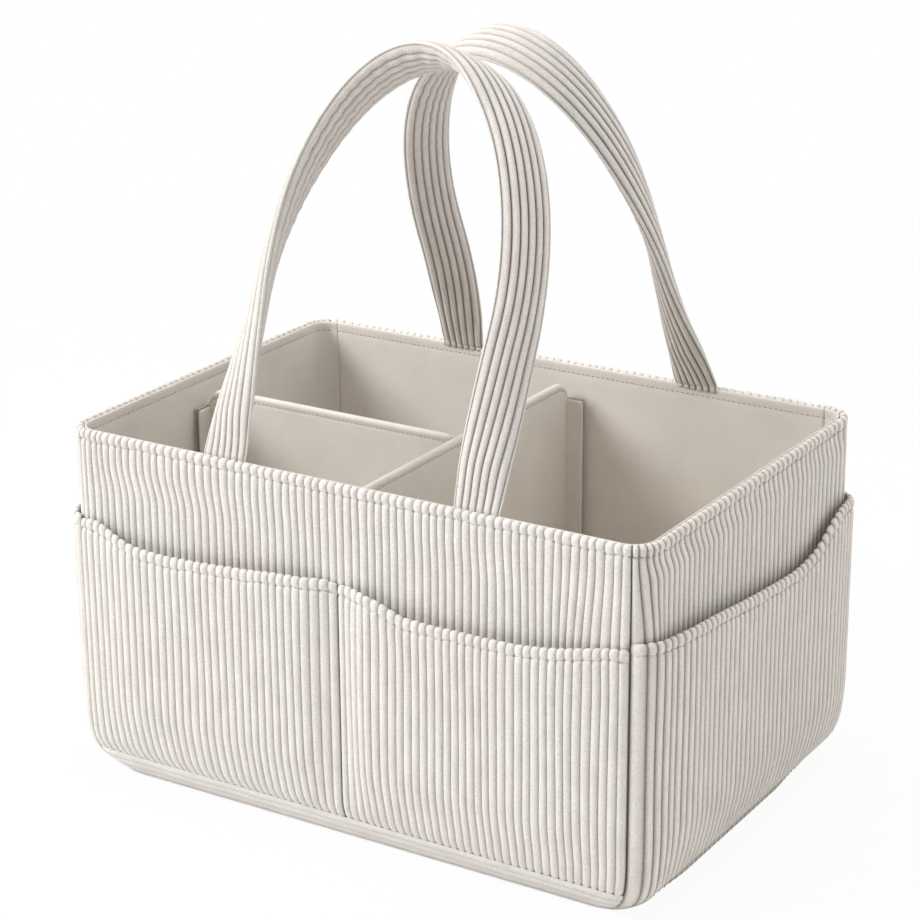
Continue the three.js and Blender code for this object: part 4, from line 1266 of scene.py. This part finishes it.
rimStitches = stitchLines("rimStitches", rimLines(), stitching, 7)
hemStitches = stitchLines("hemStitches", hemLines(), stitching, 8)
bindingStitches = stitchLines("bindingStitches", bindingLines(), overcasting, 11, "darkThread")
centreStitches, crossStitches = (
    stitchLines(key + "DividerStitches", dividerLines(shape), fineStitching, 9 + place)
    for place, (key, shape) in enumerate(dividers.items()))
print("stitches run")


# Materials of the solids that stay

for name, node in cadNodes.items():
    kind = ("felt" if "stiffener" in name else "board" if "board" in name
            else "tape" if "hook" in name or "loop" in name else None)
    if kind:
        node.data.materials.clear()
        dressed(node, kind)


# What each piece rides on and stands for

for key, piece in made.items():
    if key.endswith("_handle"):
        continue
    isDivider = key.endswith("divider_cover")
    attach(piece, key.replace("_cover", "") if isDivider else "tote")
    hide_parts(key)
for side, piece in bindings.items():
    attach(piece, "tote")
    for piece in footEnds[side]:
        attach(piece, "tote")
for side, sign in (("front", -1), ("back", 1)):
    piece = made[side + "_handle"]
    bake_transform(piece)
    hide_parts(side + "_handle_cover", side + "_handle_padding")
for piece, body in ((rimStitches, "tote"), (hemStitches, "tote"), (bindingStitches, "tote"),
                    (centreStitches, "centre_divider"), (crossStitches, "cross_divider")):
    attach(piece, body)

# The size each cloth was cut to, width and length in metres
cuts = {
    "front_panel back_panel": (0.359, 0.232), "right_panel left_panel": (0.265, 0.25),
    "base_panel": (0.352, 0.262), "front_left_pocket": (0.182, 0.172), "front_right_pocket": (0.182, 0.168),
    "back_left_pocket back_right_pocket": (0.182, 0.17), "right_pocket left_pocket": (0.268, 0.182),
    "front_lining back_lining": (0.344, 0.215), "right_lining left_lining": (0.281, 0.215),
    "base_lining": (0.349, 0.229), "centre_divider_cover": (0.24, 0.44), "cross_divider_cover": (0.175, 0.44),
}
for key, flat in ((key, flat) for keys, flat in cuts.items() for key in keys.split()):
    side = key.replace("_panel", "")
print("pieces ride on their bodies")


# Studio: a white floor and background, soft light from the front left and above

studio = {"ambient": 0.5, "roomTint": (1.0, 0.985, 0.97, 1), "floorTone": 0.9, "floorWhite": 0.93,
          "floorSize": 30, "floorDrop": 0.0003, "melt": (0.5, 1.5)}
# Power, size and place
lights = {"keyLight": (55, 1.3, (-1.7, -1.45, 1.75)), "fillLight": (6.8, 1.6, (1.9, 0.5, 0.9)),
          "topLight": (13, 1.5, (0.1, 0.3, 1.9))}


def areaLight(name, power, size, place, aim=(0, 0, 0.15)):
    data = bpy.data.lights.new(name, "AREA")
    data.energy = power
    data.shape = "DISK"
    data.size = size
    light = bpy.data.objects.new(name, data)
    light.location = place
    light.rotation_euler = (Vector(place) - Vector(aim)).to_track_quat("Z", "Y").to_euler()
    scene.collection.objects.link(light)


def seenDirectly(tree):
    # 1 for camera, mirror and glass rays
    calc, path = mathsOf(tree), addNode(tree, "ShaderNodeLightPath").outputs
    total = calc("ADD", path["Is Camera Ray"], path["Is Glossy Ray"])
    return calc("MINIMUM", calc("ADD", total, path["Is Transmission Ray"]), 1.0)


def makeStudio():
    for name, values in lights.items():
        areaLight(name, *values)
    scene.world = bpy.data.worlds.new("studio")
    tree = nodesOf(scene.world)
    room = addNode(tree, "ShaderNodeBackground", {"Color": studio["roomTint"], "Strength": studio["ambient"]})
    white = addNode(tree, "ShaderNodeBackground", {"Color": (1, 1, 1, 1)})
    mixed = addNode(tree, "ShaderNodeMixShader", {0: seenDirectly(tree), 1: room, 2: white})
    addNode(tree, "ShaderNodeOutputWorld", {0: mixed})
    bpy.ops.mesh.primitive_grid_add(
        x_subdivisions=2, y_subdivisions=2, size=studio["floorSize"], location=(0, 0, -studio["floorDrop"]))
    floor = bpy.context.object
    floor.name = "floor"
    material = bpy.data.materials.new("paleFloor")
    tree = nodesOf(material)
    matte = addNode(tree, "ShaderNodeBsdfDiffuse", {"Color": (studio["floorTone"],) * 3 + (1,)})
    # Only the floor round the object shows a shadow; further off it melts into the background
    away = addNode(tree, "ShaderNodeVectorMath", {
        0: addNode(tree, "ShaderNodeTexCoord").outputs["Object"]}, operation="LENGTH")
    white = remap(tree, away.outputs["Value"], *studio["melt"], studio["floorWhite"])
    share = mathsOf(tree)("MULTIPLY", seenDirectly(tree), white)
    mixed = addNode(tree, "ShaderNodeMixShader", {
        0: share, 1: matte, 2: addNode(tree, "ShaderNodeEmission")})
    addNode(tree, "ShaderNodeOutputMaterial", {0: mixed})
    floor.data.materials.append(material)
    scene.view_settings.view_transform = "Standard"


makeStudio()
print("studio lit")
